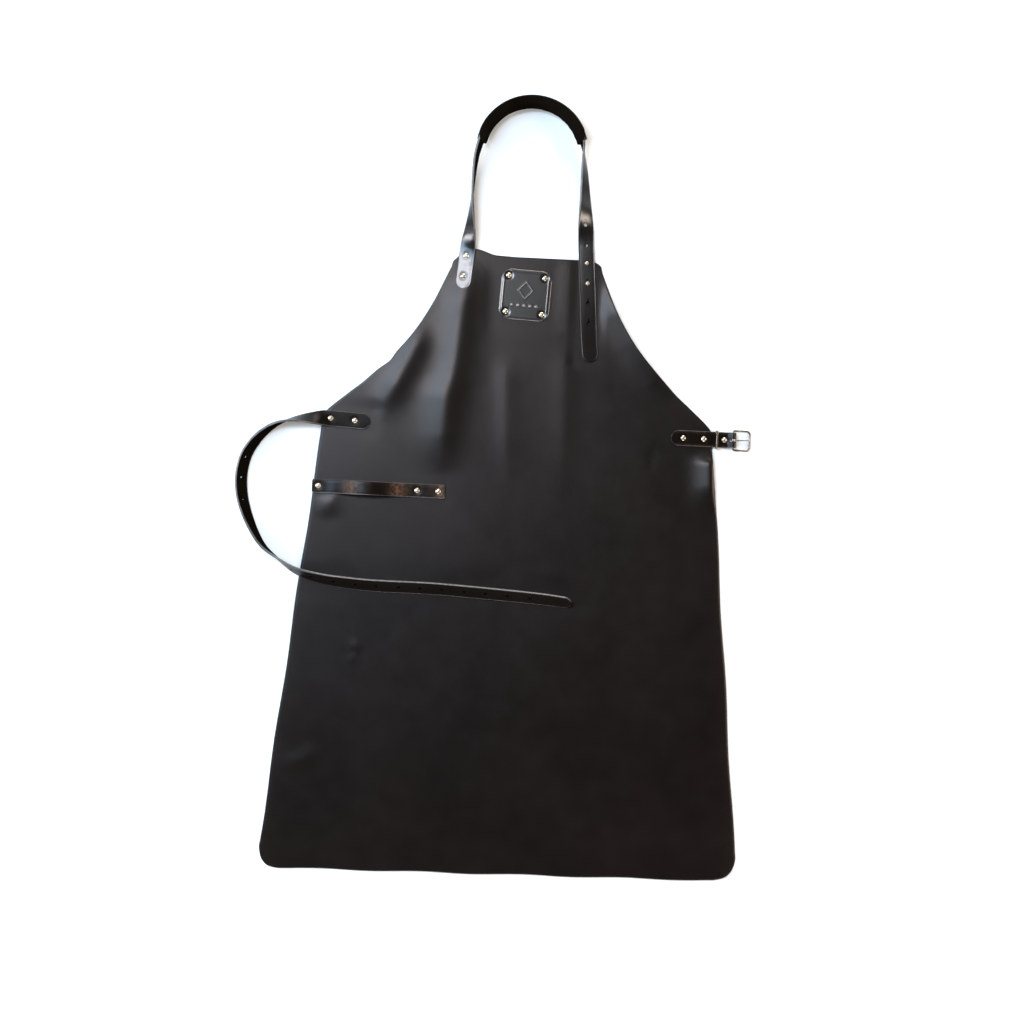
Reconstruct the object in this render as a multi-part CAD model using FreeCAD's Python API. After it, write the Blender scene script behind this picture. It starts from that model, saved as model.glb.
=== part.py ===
import FreeCAD, Part
import math
import os

from FreeCAD import Vector

# Leather butcher apron laid flat, face up.  Millimetres.
# X runs across the apron, +Y towards the bib, +Z out of the leather's face.
# The origin is the centre of the panel's underside.

# Panel
PANEL_THICK = 2.0
HEM_Y = -426.0
HEM_HALF = 300.0
HEM_CORNER = [(320.5, -418.0), (327.5, -398.0)]
WAIST_CORNER = [(269.0, 176.0), (268.5, 191.5), (260.0, 204.0)]
BIB_CURVE = [(260.0, 204.0), (207.0, 251.0), (159.0, 303.0), (127.0, 354.0), (105.0, 405.0)]
BIB_CORNER = [(100.5, 418.5), (87.0, 425.0)]
BIB_TOP = 425.0

# Straps
STRAP_WIDTH = 21.5
STRAP_THICK = 3.2
STRAP_TOP = PANEL_THICK + STRAP_THICK
REST_GAP = 0.3
CUT_GAP = 0.15
TIP_WIDTH = 5.0
TIP_STEPS = 5
ROUTE_STEPS = 6

# Rivets and studs
CAP_RADIUS = 3.6
CAP_RIM = 0.5
CAP_HEIGHT = 1.9
POST_RADIUS = 1.5
BACK_RADIUS = 4.0
BACK_THICK = 1.0
BACK_CHAMFER = 0.3
FIT = 0.05
BALL_RADIUS = 3.0
STUD_NECK_RADIUS = 1.7
STUD_NECK_HEIGHT = 0.9
SCREW_RADIUS = 1.3
SCREW_SLOT_WIDTH = 0.9
SCREW_SLOT_DEPTH = 0.5

# Neck strap
NECK_HINGE_Y = 431.0
NECK_LEFT_END = (-88.7, 377.0)
NECK_LEFT_TOP = (-83.7, NECK_HINGE_Y)
NECK_LEFT_RIVETS = [(-84.5, 422.0), (-87.0, 393.6)]
NECK_RIGHT_TOP = (80.7, NECK_HINGE_Y)
NECK_RIGHT_END = (92.5, 285.0)
NECK_STUDS = [(81.7, 419.0), (83.9, 391.5)]
KEYHOLE_RADIUS = 2.3
KEYHOLE_SLIT = 7.0
KEYHOLE_SLIT_WIDTH = 0.8
TAIL_KEYHOLES = [(86.1, 364.0), (88.3, 336.5)]
LOOP_KEYHOLES = [(79.6, 444.5), (77.4, 472.0)]

# Arch of the neck strap: a band on a cone whose axis is upright
ARCH_CENTRE = (-1.0, 563.0)
ARCH_RADIUS = 72.0
ARCH_TILT = 104.0
ARCH_START = 166.0
ARCH_END = 22.0
ARCH_STEPS = 32
ARCH_SUPPORT = 6.8
# x, y, tilt in degrees, height of the strap's lowest edge
NECK_LEFT_ROUTE = [
    (-83.7, NECK_HINGE_Y + CUT_GAP, 0.0, 2.0),
    (-82.6, 443.0, 33.0, 1.6),
    (-80.9, 458.0, 60.0, 0.9),
    (-80.2, 478.0, 76.0, 0.3),
    (-79.8, 506.0, 89.0, 0.2),
    (-78.8, 535.0, 96.0, 1.2),
    (-76.3, 560.0, 101.0, 4.2),
]
NECK_RIGHT_ROUTE = [
    (68.9, 578.0, 94.0, 5.6),
    (70.6, 562.0, 80.0, 3.8),
    (72.6, 540.0, 67.0, 2.4),
    (74.2, 519.0, 57.0, 1.4),
    (75.8, 498.0, 45.0, 0.8),
    (77.3, 478.0, 26.0, 0.6),
    (78.6, 461.0, 7.0, 0.9),
    (79.6, 445.0, 0.0, 1.6),
    (80.7, NECK_HINGE_Y + CUT_GAP, 0.0, 2.0),
]

# Shoulder pad: a sleeve round the arch
PAD_HALF_WIDTH = 17.0
PAD_START = 156.0
PAD_END = 29.0
PAD_CLEAR = 0.4
PAD_OUTER_THICK = 1.8
PAD_LINING_THICK = 3.6
PAD_SEAM = 3.0

# Towel strap
TOWEL_WIDTH = 19.0
TOWEL_THICK = 3.0
TOWEL_Y = 96.0
TOWEL_START_X = -281.0
TOWEL_END_X = -98.0
TOWEL_BOW_START = -264.0
TOWEL_BOW_END = -145.0
TOWEL_BOW_HEIGHT = 13.0
TOWEL_BOW_POINTS = 9
TOWEL_CORNER = 2.5
TOWEL_RIVETS = [(-272.5, TOWEL_Y), (-136.2, TOWEL_Y), (-107.2, TOWEL_Y)]

# Waist strap
WAIST_HINGE_X = -281.0
WAIST_INNER_END = (-205.5, 187.0)
WAIST_HINGE = (WAIST_HINGE_X, 190.6)
WAIST_RIVETS = [(-226.5, 188.0), (-259.7, 189.6)]
# x, y, tilt in degrees, height of the strap's lowest edge
WAIST_ROUTE = [
    (WAIST_HINGE_X - CUT_GAP, 190.6, 0.0, 2.0),
    (-297.0, 191.0, 22.0, 1.4),
    (-312.0, 187.0, 62.0, 0.6),
    (-328.0, 180.5, 90.0, 0.1),
    (-346.0, 171.0, 105.0, 0.0),
    (-362.0, 155.0, 116.0, 0.0),
    (-375.0, 132.0, 124.0, 0.0),
    (-380.5, 104.0, 127.0, 0.0),
    (-377.0, 73.0, 124.0, 0.0),
    (-364.0, 40.0, 112.0, 0.0),
    (-345.0, 12.0, 98.0, 0.1),
    (-323.0, -6.0, 84.0, 0.8),
    (-297.0, -21.5, 67.0, 2.3),
    (-265.0, -31.0, 56.0, 2.3),
    (-230.0, -35.5, 51.0, 2.3),
    (-186.0, -38.0, 50.0, 2.3),
    (-110.0, -38.0, 50.0, 2.3),
    (-35.0, -41.0, 50.0, 2.3),
    (40.0, -45.0, 50.0, 2.3),
    (72.5, -47.4, 50.0, 2.3),
]
WAIST_HOLE_RADIUS = 2.2
WAIST_HOLE_PITCH = 30.0
WAIST_HOLE_COUNT = 19
WAIST_HOLE_END = 57.0

# Buckle tab
TAB_Y = 186.0
TAB_INNER_END = 209.5
TAB_HINGE_X = 270.35
TAB_RIVETS = [(226.1, TAB_Y), (254.3, TAB_Y)]
FOLD_RIVET = (282.7, TAB_Y)
FOLD_LAYER_X = 278.6
FOLD_LAYER_Z = 0.3
FOLD_RISE_X = 287.4
FOLD_RADIUS = 3.9
PRONG_SLOT_X = 288.5
PRONG_SLOT_HALF = 2.0

# Buckle
BAR_X = 295.0
BAR_Z = FOLD_LAYER_Z + FOLD_RADIUS
WIRE_RADIUS = 1.3
RUNNING_GAP = 0.08
FRAME_LENGTH = 23.0
FRAME_HALF_WIDTH = 13.4
FRAME_BAR_BEND = 2.2
FRAME_CHAMFER = 4.5
FRAME_DROOP = 7.0
PRONG_RAISE = 42.0
PRONG_LENGTH = 24.6
PRONG_RADIUS = 1.15
PRONG_TIP_RADIUS = 0.8
PRONG_EYE_RADIUS = 2.5
PRONG_EYE_HALF = 1.5

# Keeper
KEEPER_X = 272.0
KEEPER_WIDTH = 2.4
KEEPER_WIRE = 1.5
KEEPER_HALF = 11.3
KEEPER_BOTTOM = 1.65
KEEPER_TOP = 9.9
KEEPER_CORNER = 0.8
KEEPER_EDGE = 0.5

# Badge patch
BADGE_CENTRE = (-0.6, 372.1)
BADGE_TURN = -2.7
BADGE_HALF = 34.5
BADGE_CORNER = 14.0
BADGE_THICK = 2.2
BADGE_RIVET_PITCH = 50.0
BADGE_RIM_INSET = 3.0
BADGE_RIM_WIDTH = 1.6
BADGE_RELIEF = 0.7
LOZENGE_HALF = (11.0, 13.0)
LOZENGE_LINE = 2.0
LOZENGE_RISE = 6.0
BEAD_COUNT = 7
BEAD_PITCH = 6.0
BEAD_RADIUS = 1.7
BEAD_DROP = -15.0
CUTTER_LENGTH = 40.0

UP = Vector(0, 0, 1)


def save(name, solids):
    """Write one node's closed solids to its STEP file."""
    shape = solids[0] if len(solids) == 1 else Part.makeCompound(solids)
    shape.exportStep("parts/" + name + ".step")


def rod(x, y, low, high, radius):
    """Upright cylinder from one height to another."""
    return Part.makeCylinder(radius, high - low, Vector(x, y, low))


def extruded(edges, low, height):
    """Plate from plan edges drawn at height zero."""
    face = Part.Face(Part.Wire(Part.__sortEdges__(edges)))
    face.translate(Vector(0, 0, low))
    return face.extrude(Vector(0, 0, height))


def line(a, b):
    return Part.LineSegment(a, b).toShape()


def arc(a, middle, b):
    return Part.Arc(a, middle, b).toShape()


def loop_of_lines(points):
    """Closed wire of straight edges."""
    return Part.makePolygon(points + [points[0]])


# Fasteners


def rivet_cap(x, y, seat, foot):
    """Domed cap that sits at one height, with its post down to another."""
    dome = CAP_HEIGHT - CAP_RIM
    ball_radius = (CAP_RADIUS ** 2 + dome ** 2) / (2 * dome)
    ball = Part.makeSphere(ball_radius, Vector(x, y, seat + CAP_HEIGHT - ball_radius))
    cap = rod(x, y, seat, seat + CAP_HEIGHT, CAP_RADIUS).common(ball)
    return cap.fuse(rod(x, y, foot, seat + CAP_RIM, POST_RADIUS)).removeSplitter()


def rivet_back(x, y, low):
    """Flat back with a bevelled rim, let into the underside."""
    high = low + BACK_THICK
    points = [
        Vector(0, 0, low),
        Vector(BACK_RADIUS - BACK_CHAMFER, 0, low),
        Vector(BACK_RADIUS, 0, low + BACK_CHAMFER),
        Vector(BACK_RADIUS, 0, high),
        Vector(0, 0, high),
    ]
    back = Part.Face(loop_of_lines(points)).revolve(Vector(0, 0, 0), UP, 360)
    back.translate(Vector(x, y, 0))
    return back


def rivet_room(x, y, low=0.0):
    """Hole for a rivet's post and the seat of its back."""
    hole = rod(x, y, low - 1.0, low + CUTTER_LENGTH, POST_RADIUS + FIT)
    return hole.fuse(rod(x, y, low - 1.0, low + BACK_THICK, BACK_RADIUS + FIT))


def rivet_sets(places, seat, name):
    """Caps and backs for one group of rivets through the panel."""
    save(name + "_rivet_caps", [rivet_cap(x, y, seat, BACK_THICK) for x, y in places])
    save(name + "_rivet_backs", [rivet_back(x, y, 0.0) for x, y in places])


def stud_ball(x, y):
    """Ball-headed stud whose neck stands on the panel and passes through the strap."""
    ball_z = STRAP_TOP + STUD_NECK_HEIGHT + BALL_RADIUS * 0.8
    ball = Part.makeSphere(BALL_RADIUS, Vector(x, y, ball_z))
    neck = rod(x, y, PANEL_THICK, ball_z, STUD_NECK_RADIUS)
    socket = rod(x, y, PANEL_THICK - 1.0, STRAP_TOP, SCREW_RADIUS)
    return ball.fuse(neck).removeSplitter().cut(socket)


def stud_screw(x, y):
    """Slotted screw that holds a stud from behind."""
    head = rod(x, y, 0.0, BACK_THICK, BACK_RADIUS)
    shank = rod(x, y, BACK_THICK, STRAP_TOP, SCREW_RADIUS)
    corner = Vector(x - BACK_RADIUS, y - SCREW_SLOT_WIDTH / 2, -1.0)
    slot = Part.makeBox(2 * BACK_RADIUS, SCREW_SLOT_WIDTH, 1.0 + SCREW_SLOT_DEPTH, corner)
    return head.fuse(shank).removeSplitter().cut(slot)


# Straps that lie flat


def flat_strap(start, end, low, thick, cap_start, cap_end):
    """Straight strap between two plan points, with a half-round end where asked."""
    a = Vector(start[0], start[1], 0)
    b = Vector(end[0], end[1], 0)
    along = (b - a).normalize()
    side = Vector(-along.y, along.x, 0) * (STRAP_WIDTH / 2)
    nose = along * (STRAP_WIDTH / 2)
    if cap_start:
        a = a + nose
    if cap_end:
        b = b - nose
    start_edge = arc(a + side, a - nose, a - side) if cap_start else line(a + side, a - side)
    end_edge = arc(b - side, b + nose, b + side) if cap_end else line(b - side, b + side)
    edges = [start_edge, line(a - side, b - side), end_edge, line(b + side, a + side)]
    return extruded(edges, low, thick)


def keyhole(x, y, slit_up):
    """Cutter for a round hole with a slit along the strap."""
    hole = rod(x, y, -1.0, CUTTER_LENGTH, KEYHOLE_RADIUS)
    low_y = y if slit_up else y - KEYHOLE_SLIT
    corner = Vector(x - KEYHOLE_SLIT_WIDTH / 2, low_y, -1.0)
    slit = Part.makeBox(KEYHOLE_SLIT_WIDTH, KEYHOLE_SLIT, CUTTER_LENGTH, corner)
    return hole.fuse(slit)


# Straps that twist as they run


def smooth_route(points, steps):
    """Catmull-Rom curve through points of any number of values."""
    ends = [points[0]] + points + [points[-1]]
    curve = []
    for before, a, b, after in zip(ends, ends[1:], ends[2:], ends[3:]):
        for step in range(steps):
            t = step / steps
            curve.append(tuple(
                p + 0.5 * t * (q - o + t * (2 * o - 5 * p + 4 * q - r + t * (3 * (p - q) + r - o)))
                for o, p, q, r in zip(before, a, b, after)))
    curve.append(points[-1])
    return curve


def strap_frames(route, inner_side):
    """Centre, width direction and face direction at each point of a route.

    The route gives x, y, tilt and lowest edge; inner_side is 1 where the inner
    edge is on the right of the direction of travel, -1 where it is on the left."""
    frames = []
    for i, (x, y, tilt, low) in enumerate(route):
        before = route[max(i - 1, 0)]
        after = route[min(i + 1, len(route) - 1)]
        along = Vector(after[0] - before[0], after[1] - before[1], 0).normalize()
        inward = Vector(along.y, -along.x, 0) * inner_side
        angle = math.radians(tilt)
        rise = STRAP_WIDTH / 2 * math.sin(angle) + STRAP_THICK / 2 * abs(math.cos(angle))
        across = inward * math.cos(angle) + UP * math.sin(angle)
        face = UP * math.cos(angle) - inward * math.sin(angle)
        frames.append((Vector(x, y, low + rise), across, face))
    return frames


def ribbon(frames, widths):
    """Strap lofted through a rectangle at each frame."""
    sections = []
    for (centre, across, face), width in zip(frames, widths):
        half = across * (width / 2)
        deep = face * (STRAP_THICK / 2)
        corners = [centre + half + deep, centre - half + deep, centre - half - deep, centre + half - deep]
        sections.append(loop_of_lines(corners))
    return Part.makeLoft(sections, True, True)


def cross_hole(frame, radius):
    """Cutter for a hole through a strap at one of its frames."""
    centre, across, face = frame
    return Part.makeCylinder(radius, 4 * STRAP_THICK, centre - face * (2 * STRAP_THICK), face)


def frame_at(frames, distance):
    """The frame at a distance along a strap, measured back from its tip."""
    travelled = 0.0
    for (after, across, face), (before, _, _) in zip(reversed(frames), reversed(frames[:-1])):
        step = after.distanceToPoint(before)
        if travelled + step >= distance:
            share = (distance - travelled) / step
            return (after + (before - after) * share, across, face)
        travelled += step
    raise ValueError("the strap is shorter than that")


# Nodes


def panel():
    """The apron itself, one cut of leather with a shaped bib."""
    edges = []
    for side in (-1, 1):
        def at(point):
            return Vector(side * point[0], point[1], 0)
        hem = Vector(0, HEM_Y, 0)
        top = Vector(0, BIB_TOP, 0)
        curve = Part.BSplineCurve()
        curve.interpolate([at(p) for p in BIB_CURVE])
        edges += [
            line(hem, at((HEM_HALF, HEM_Y))),
            arc(at((HEM_HALF, HEM_Y)), at(HEM_CORNER[0]), at(HEM_CORNER[1])),
            line(at(HEM_CORNER[1]), at(WAIST_CORNER[0])),
            arc(*[at(p) for p in WAIST_CORNER]),
            curve.toShape(),
            arc(at(BIB_CURVE[-1]), at(BIB_CORNER[0]), at(BIB_CORNER[1])),
            line(at(BIB_CORNER[1]), top),
        ]
    sheet = extruded(edges, 0.0, PANEL_THICK)
    rivets = NECK_LEFT_RIVETS + NECK_STUDS + TOWEL_RIVETS + WAIST_RIVETS + TAB_RIVETS + badge_rivets()
    save("apron_panel", [sheet.cut(Part.makeCompound([rivet_room(x, y) for x, y in rivets]))])


def badge_rivets():
    """Rivet places at the corners of the badge."""
    angle = math.radians(BADGE_TURN)
    half = BADGE_RIVET_PITCH / 2
    places = []
    for u, v in ((-half, half), (half, half), (half, -half), (-half, -half)):
        x = BADGE_CENTRE[0] + u * math.cos(angle) - v * math.sin(angle)
        y = BADGE_CENTRE[1] + u * math.sin(angle) + v * math.cos(angle)
        places.append((x, y))
    return places


def rounded_square(half, corner):
    """Plan edges of a square with round corners, centred on the origin."""
    flat = half - corner
    mid = flat + corner * math.sqrt(0.5)
    edges = []
    for quarter in range(4):
        c = round(math.cos(quarter * math.pi / 2))
        s = round(math.sin(quarter * math.pi / 2))

        def at(u, v):
            return Vector(c * u - s * v, s * u + c * v, 0)
        edges.append(line(at(half, -flat), at(half, flat)))
        edges.append(arc(at(half, flat), at(mid, mid), at(flat, half)))
    return edges


def lozenge(half_width, half_height, low, height):
    """Upright diamond-shaped prism."""
    points = [
        Vector(half_width, 0, 0),
        Vector(0, half_height, 0),
        Vector(-half_width, 0, 0),
        Vector(0, -half_height, 0),
    ]
    return extruded(loop_of_lines(points).Edges, low, height)


def badge():
    """Riveted leather patch with a plain embossed rim, lozenge and row of beads."""
    plate = extruded(rounded_square(BADGE_HALF, BADGE_CORNER), 0.0, BADGE_THICK)
    rim_half = BADGE_HALF - BADGE_RIM_INSET
    rim_corner = BADGE_CORNER - BADGE_RIM_INSET
    rim = extruded(rounded_square(rim_half, rim_corner), BADGE_THICK, BADGE_RELIEF)
    rim = rim.cut(extruded(
        rounded_square(rim_half - BADGE_RIM_WIDTH, rim_corner - BADGE_RIM_WIDTH), BADGE_THICK, BADGE_RELIEF))
    diamond = lozenge(LOZENGE_HALF[0], LOZENGE_HALF[1], BADGE_THICK, BADGE_RELIEF)
    diamond = diamond.cut(lozenge(
        LOZENGE_HALF[0] - LOZENGE_LINE, LOZENGE_HALF[1] - LOZENGE_LINE, BADGE_THICK, BADGE_RELIEF))
    diamond.translate(Vector(0, LOZENGE_RISE, 0))
    reliefs = [rim, diamond]
    for i in range(BEAD_COUNT):
        x = (i - (BEAD_COUNT - 1) / 2) * BEAD_PITCH
        reliefs.append(rod(x, BEAD_DROP, BADGE_THICK, BADGE_THICK + BADGE_RELIEF, BEAD_RADIUS))
    patch = plate.fuse(reliefs)
    patch.rotate(Vector(0, 0, 0), UP, BADGE_TURN)
    patch.translate(Vector(BADGE_CENTRE[0], BADGE_CENTRE[1], PANEL_THICK))
    face_z = PANEL_THICK + BADGE_THICK
    for x, y in badge_rivets():
        seat = rod(x, y, face_z, CUTTER_LENGTH, CAP_RADIUS + REST_GAP)
        patch = patch.cut([rod(x, y, 0, CUTTER_LENGTH, POST_RADIUS + FIT), seat])
    save("badge_patch", [patch])
    rivet_sets(badge_rivets(), face_z, "badge")


def neck_anchors():
    """The two ends of the neck strap that lie on the bib."""
    left = flat_strap(
        NECK_LEFT_END, (NECK_LEFT_TOP[0], NECK_HINGE_Y - CUT_GAP), PANEL_THICK, STRAP_THICK, True, False)
    holes = [rod(x, y, 0, CUTTER_LENGTH, POST_RADIUS + FIT) for x, y in NECK_LEFT_RIVETS]
    save("neck_strap_left_anchor", [left.cut(Part.makeCompound(holes))])
    rivet_sets(NECK_LEFT_RIVETS, STRAP_TOP, "neck")
    right = flat_strap(
        (NECK_RIGHT_TOP[0], NECK_HINGE_Y - CUT_GAP), NECK_RIGHT_END, PANEL_THICK, STRAP_THICK, False, True)
    cuts = [keyhole(x, y, True) for x, y in NECK_STUDS + TAIL_KEYHOLES]
    save("neck_strap_right_tail", [right.cut(cuts)])
    save("neck_stud_balls", [stud_ball(x, y) for x, y in NECK_STUDS])
    save("neck_stud_screws", [stud_screw(x, y) for x, y in NECK_STUDS])


def arch_point(degrees):
    """Point of the neck strap's route on the arch."""
    angle = math.radians(degrees)
    x = ARCH_CENTRE[0] + ARCH_RADIUS * math.cos(angle)
    y = ARCH_CENTRE[1] + ARCH_RADIUS * math.sin(angle)
    return (x, y, ARCH_TILT, ARCH_SUPPORT)


def neck_loop():
    """The neck strap beyond the bib: up one side, round the arch, down the other."""
    span = ARCH_START - ARCH_END
    arch = [arch_point(ARCH_START - span * i / ARCH_STEPS) for i in range(ARCH_STEPS + 1)]
    left = smooth_route(NECK_LEFT_ROUTE + [arch[0]], ROUTE_STEPS)[:-1]
    right = smooth_route([arch[-1]] + NECK_RIGHT_ROUTE, ROUTE_STEPS)[1:]
    frames = strap_frames(left + arch + right, 1)
    strap = ribbon(frames, [STRAP_WIDTH] * len(frames))
    holes = [keyhole(x, y, True) for x, y in LOOP_KEYHOLES]
    save("neck_strap_loop", [strap.cut(holes)])


def cone_band(near, far, low, high, start, end):
    """Band coaxial with the arch: depths along its face direction, heights across it."""
    angle = math.radians(ARCH_TILT)
    rise = STRAP_WIDTH / 2 * math.sin(angle) + STRAP_THICK / 2 * abs(math.cos(angle))
    centre = Vector(ARCH_RADIUS, 0, ARCH_SUPPORT + rise)
    across = Vector(-math.cos(angle), 0, math.sin(angle))
    face = Vector(math.sin(angle), 0, math.cos(angle))
    corners = [(near, low), (far, low), (far, high), (near, high)]
    outline = loop_of_lines([centre + face * f + across * a for f, a in corners])
    band = Part.Face(outline)
    band.rotate(Vector(0, 0, 0), UP, end)
    band = band.revolve(Vector(0, 0, 0), UP, start - end)
    band.translate(Vector(ARCH_CENTRE[0], ARCH_CENTRE[1], 0))
    return band


def neck_pad():
    """Two-layer sleeve, sewn along its edges, that slides round the arch."""
    room = STRAP_THICK / 2 + PAD_CLEAR
    side = STRAP_WIDTH / 2 + PAD_CLEAR
    wide = PAD_HALF_WIDTH
    outer = cone_band(0.0, room + PAD_OUTER_THICK, -wide, wide, PAD_START, PAD_END)
    lining = cone_band(-room - PAD_LINING_THICK, 0.0, -wide, wide, PAD_START, PAD_END)
    tunnel = cone_band(-room, room, -side, side, PAD_START + 1, PAD_END - 1)
    save("neck_pad_outer", [outer.cut(tunnel)])
    save("neck_pad_lining", [lining.cut(tunnel)])


def towel_strap():
    """Short strap riveted at both ends, bowed clear of the panel between them."""
    points = []
    for i in range(TOWEL_BOW_POINTS):
        share = i / (TOWEL_BOW_POINTS - 1)
        x = TOWEL_BOW_START + (TOWEL_BOW_END - TOWEL_BOW_START) * share
        lift = TOWEL_BOW_HEIGHT * (1 - math.cos(2 * math.pi * share)) / 2
        points.append(Vector(x, 0, PANEL_THICK + lift))
    edges = []
    for raise_by in (0.0, TOWEL_THICK):
        shift = Vector(0, 0, raise_by)
        bow = Part.BSplineCurve()
        lifted = [p + shift for p in points]
        bow.interpolate(lifted, InitialTangent=Vector(1, 0, 0), FinalTangent=Vector(1, 0, 0))
        level = PANEL_THICK + raise_by
        edges.append(line(Vector(TOWEL_START_X, 0, level), points[0] + shift))
        edges.append(bow.toShape())
        edges.append(line(points[-1] + shift, Vector(TOWEL_END_X, 0, level)))
    for x in (TOWEL_START_X, TOWEL_END_X):
        edges.append(line(Vector(x, 0, PANEL_THICK), Vector(x, 0, PANEL_THICK + TOWEL_THICK)))
    face = Part.Face(Part.Wire(Part.__sortEdges__(edges)))
    face.translate(Vector(0, TOWEL_Y - TOWEL_WIDTH / 2, 0))
    strap = face.extrude(Vector(0, TOWEL_WIDTH, 0))
    corners = [e for e in strap.Edges if is_upright(e)]
    strap = strap.makeFillet(TOWEL_CORNER, corners)
    holes = [rod(x, y, 0, CUTTER_LENGTH, POST_RADIUS + FIT) for x, y in TOWEL_RIVETS]
    save("towel_strap", [strap.cut(Part.makeCompound(holes))])
    rivet_sets(TOWEL_RIVETS, PANEL_THICK + TOWEL_THICK, "towel")


def is_upright(edge):
    """True for a straight edge along Z."""
    a, b = [v.Point for v in edge.Vertexes]
    return abs(a.x - b.x) < 1e-6 and abs(a.y - b.y) < 1e-6


def waist_strap():
    """Long adjusting strap: riveted at the left hip, then standing on its edge."""
    anchor = flat_strap(
        WAIST_INNER_END, (WAIST_HINGE_X + CUT_GAP, WAIST_HINGE[1]), PANEL_THICK, STRAP_THICK, True, False)
    holes = [rod(x, y, 0, CUTTER_LENGTH, POST_RADIUS + FIT) for x, y in WAIST_RIVETS]
    save("waist_strap_anchor", [anchor.cut(Part.makeCompound(holes))])
    rivet_sets(WAIST_RIVETS, STRAP_TOP, "waist")

    frames = strap_frames(smooth_route(WAIST_ROUTE, ROUTE_STEPS), -1)
    widths = [STRAP_WIDTH] * len(frames)
    tip, across, face = frames[-1]
    before = frames[-2][0]
    along = (tip - before).normalize()
    for i in range(1, TIP_STEPS + 1):
        angle = math.pi / 2 * i / TIP_STEPS
        frames.append((tip + along * (STRAP_WIDTH / 2 * math.sin(angle)), across, face))
        widths.append(TIP_WIDTH + (STRAP_WIDTH - TIP_WIDTH) * math.cos(angle))
    strap = ribbon(frames, widths)
    cuts = [
        cross_hole(frame_at(frames, WAIST_HOLE_END + i * WAIST_HOLE_PITCH), WAIST_HOLE_RADIUS)
        for i in range(WAIST_HOLE_COUNT)]
    save("waist_strap_free", [strap.cut(cuts)])


def buckle_tab():
    """Tab riveted at the right hip and folded back round the buckle's bar."""
    anchor = flat_strap(
        (TAB_INNER_END, TAB_Y), (TAB_HINGE_X - CUT_GAP, TAB_Y), PANEL_THICK, STRAP_THICK, True, False)
    holes = [rod(x, y, 0, CUTTER_LENGTH, POST_RADIUS + FIT) for x, y in TAB_RIVETS]
    save("tab_anchor", [anchor.cut(Part.makeCompound(holes))])
    rivet_sets(TAB_RIVETS, STRAP_TOP, "tab")

    start_x = TAB_HINGE_X + CUT_GAP
    low = Vector(BAR_X, 0, FOLD_LAYER_Z)
    high = Vector(BAR_X, 0, BAR_Z + FOLD_RADIUS)
    corners = [
        high,
        Vector(FOLD_RISE_X, 0, STRAP_TOP),
        Vector(start_x, 0, STRAP_TOP),
        Vector(start_x, 0, PANEL_THICK),
        Vector(FOLD_LAYER_X, 0, PANEL_THICK),
        Vector(FOLD_LAYER_X, 0, FOLD_LAYER_Z),
        low,
    ]
    edges = Part.makePolygon(corners).Edges + [arc(low, Vector(BAR_X + FOLD_RADIUS, 0, BAR_Z), high)]
    face = Part.Face(Part.Wire(edges))
    face.translate(Vector(0, TAB_Y - STRAP_WIDTH / 2, 0))
    fold = face.extrude(Vector(0, STRAP_WIDTH, 0))
    eye = cross_bar(WIRE_RADIUS + RUNNING_GAP, STRAP_WIDTH)
    slot_corner = Vector(PRONG_SLOT_X, TAB_Y - PRONG_SLOT_HALF, -1.0)
    slot = Part.makeBox(CUTTER_LENGTH, 2 * PRONG_SLOT_HALF, CUTTER_LENGTH, slot_corner)
    x, y = FOLD_RIVET
    save("tab_fold", [fold.cut([eye, slot, rivet_room(x, y, FOLD_LAYER_Z)])])
    save("fold_rivet_cap", [rivet_cap(x, y, STRAP_TOP, FOLD_LAYER_Z + BACK_THICK)])
    save("fold_rivet_back", [rivet_back(x, y, FOLD_LAYER_Z)])


def cross_bar(radius, length):
    """Cylinder along the buckle's bar."""
    return Part.makeCylinder(radius, length, Vector(BAR_X, TAB_Y - length / 2, BAR_Z), Vector(0, 1, 0))


def buckle_frame():
    """Bent-wire frame: the bar that the tab folds round, two sides and a far bar."""
    half = FRAME_HALF_WIDTH
    bend = FRAME_BAR_BEND
    mid = bend * (1 - math.sqrt(0.5))
    cut = FRAME_CHAMFER
    bow = cut * 0.36
    far = FRAME_LENGTH
    path = Part.Wire([
        line(Vector(0, 0, 0), Vector(0, half - bend, 0)),
        arc(Vector(0, half - bend, 0), Vector(mid, half - mid, 0), Vector(bend, half, 0)),
        line(Vector(bend, half, 0), Vector(far - cut, half, 0)),
        arc(Vector(far - cut, half, 0), Vector(far - bow, half - bow, 0), Vector(far, half - cut, 0)),
        line(Vector(far, half - cut, 0), Vector(far, 0, 0)),
    ])
    section = Part.Wire(Part.makeCircle(WIRE_RADIUS, Vector(0, 0, 0), Vector(0, 1, 0)))
    near_half = path.makePipeShell([section], True, False)
    wire = near_half.fuse(near_half.mirror(Vector(0, 0, 0), Vector(0, 1, 0))).removeSplitter()
    wire.rotate(Vector(0, 0, 0), Vector(0, 1, 0), FRAME_DROOP)
    wire.translate(Vector(BAR_X, TAB_Y, BAR_Z))
    save("buckle_frame", [wire])


def buckle_prong():
    """Prong with its eye round the bar, raised clear of the frame."""
    eye = cross_bar(PRONG_EYE_RADIUS, 2 * PRONG_EYE_HALF)
    shaft = Part.makeCone(
        PRONG_RADIUS, PRONG_TIP_RADIUS, PRONG_LENGTH, Vector(BAR_X, TAB_Y, BAR_Z), Vector(1, 0, 0))
    tip = Part.makeSphere(PRONG_TIP_RADIUS, Vector(BAR_X + PRONG_LENGTH, TAB_Y, BAR_Z))
    prong = eye.fuse([shaft, tip]).removeSplitter()
    prong = prong.cut(cross_bar(WIRE_RADIUS + RUNNING_GAP, CUTTER_LENGTH))
    prong.rotate(Vector(BAR_X, TAB_Y, BAR_Z), Vector(0, -1, 0), PRONG_RAISE)
    save("buckle_prong", [prong])


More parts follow.
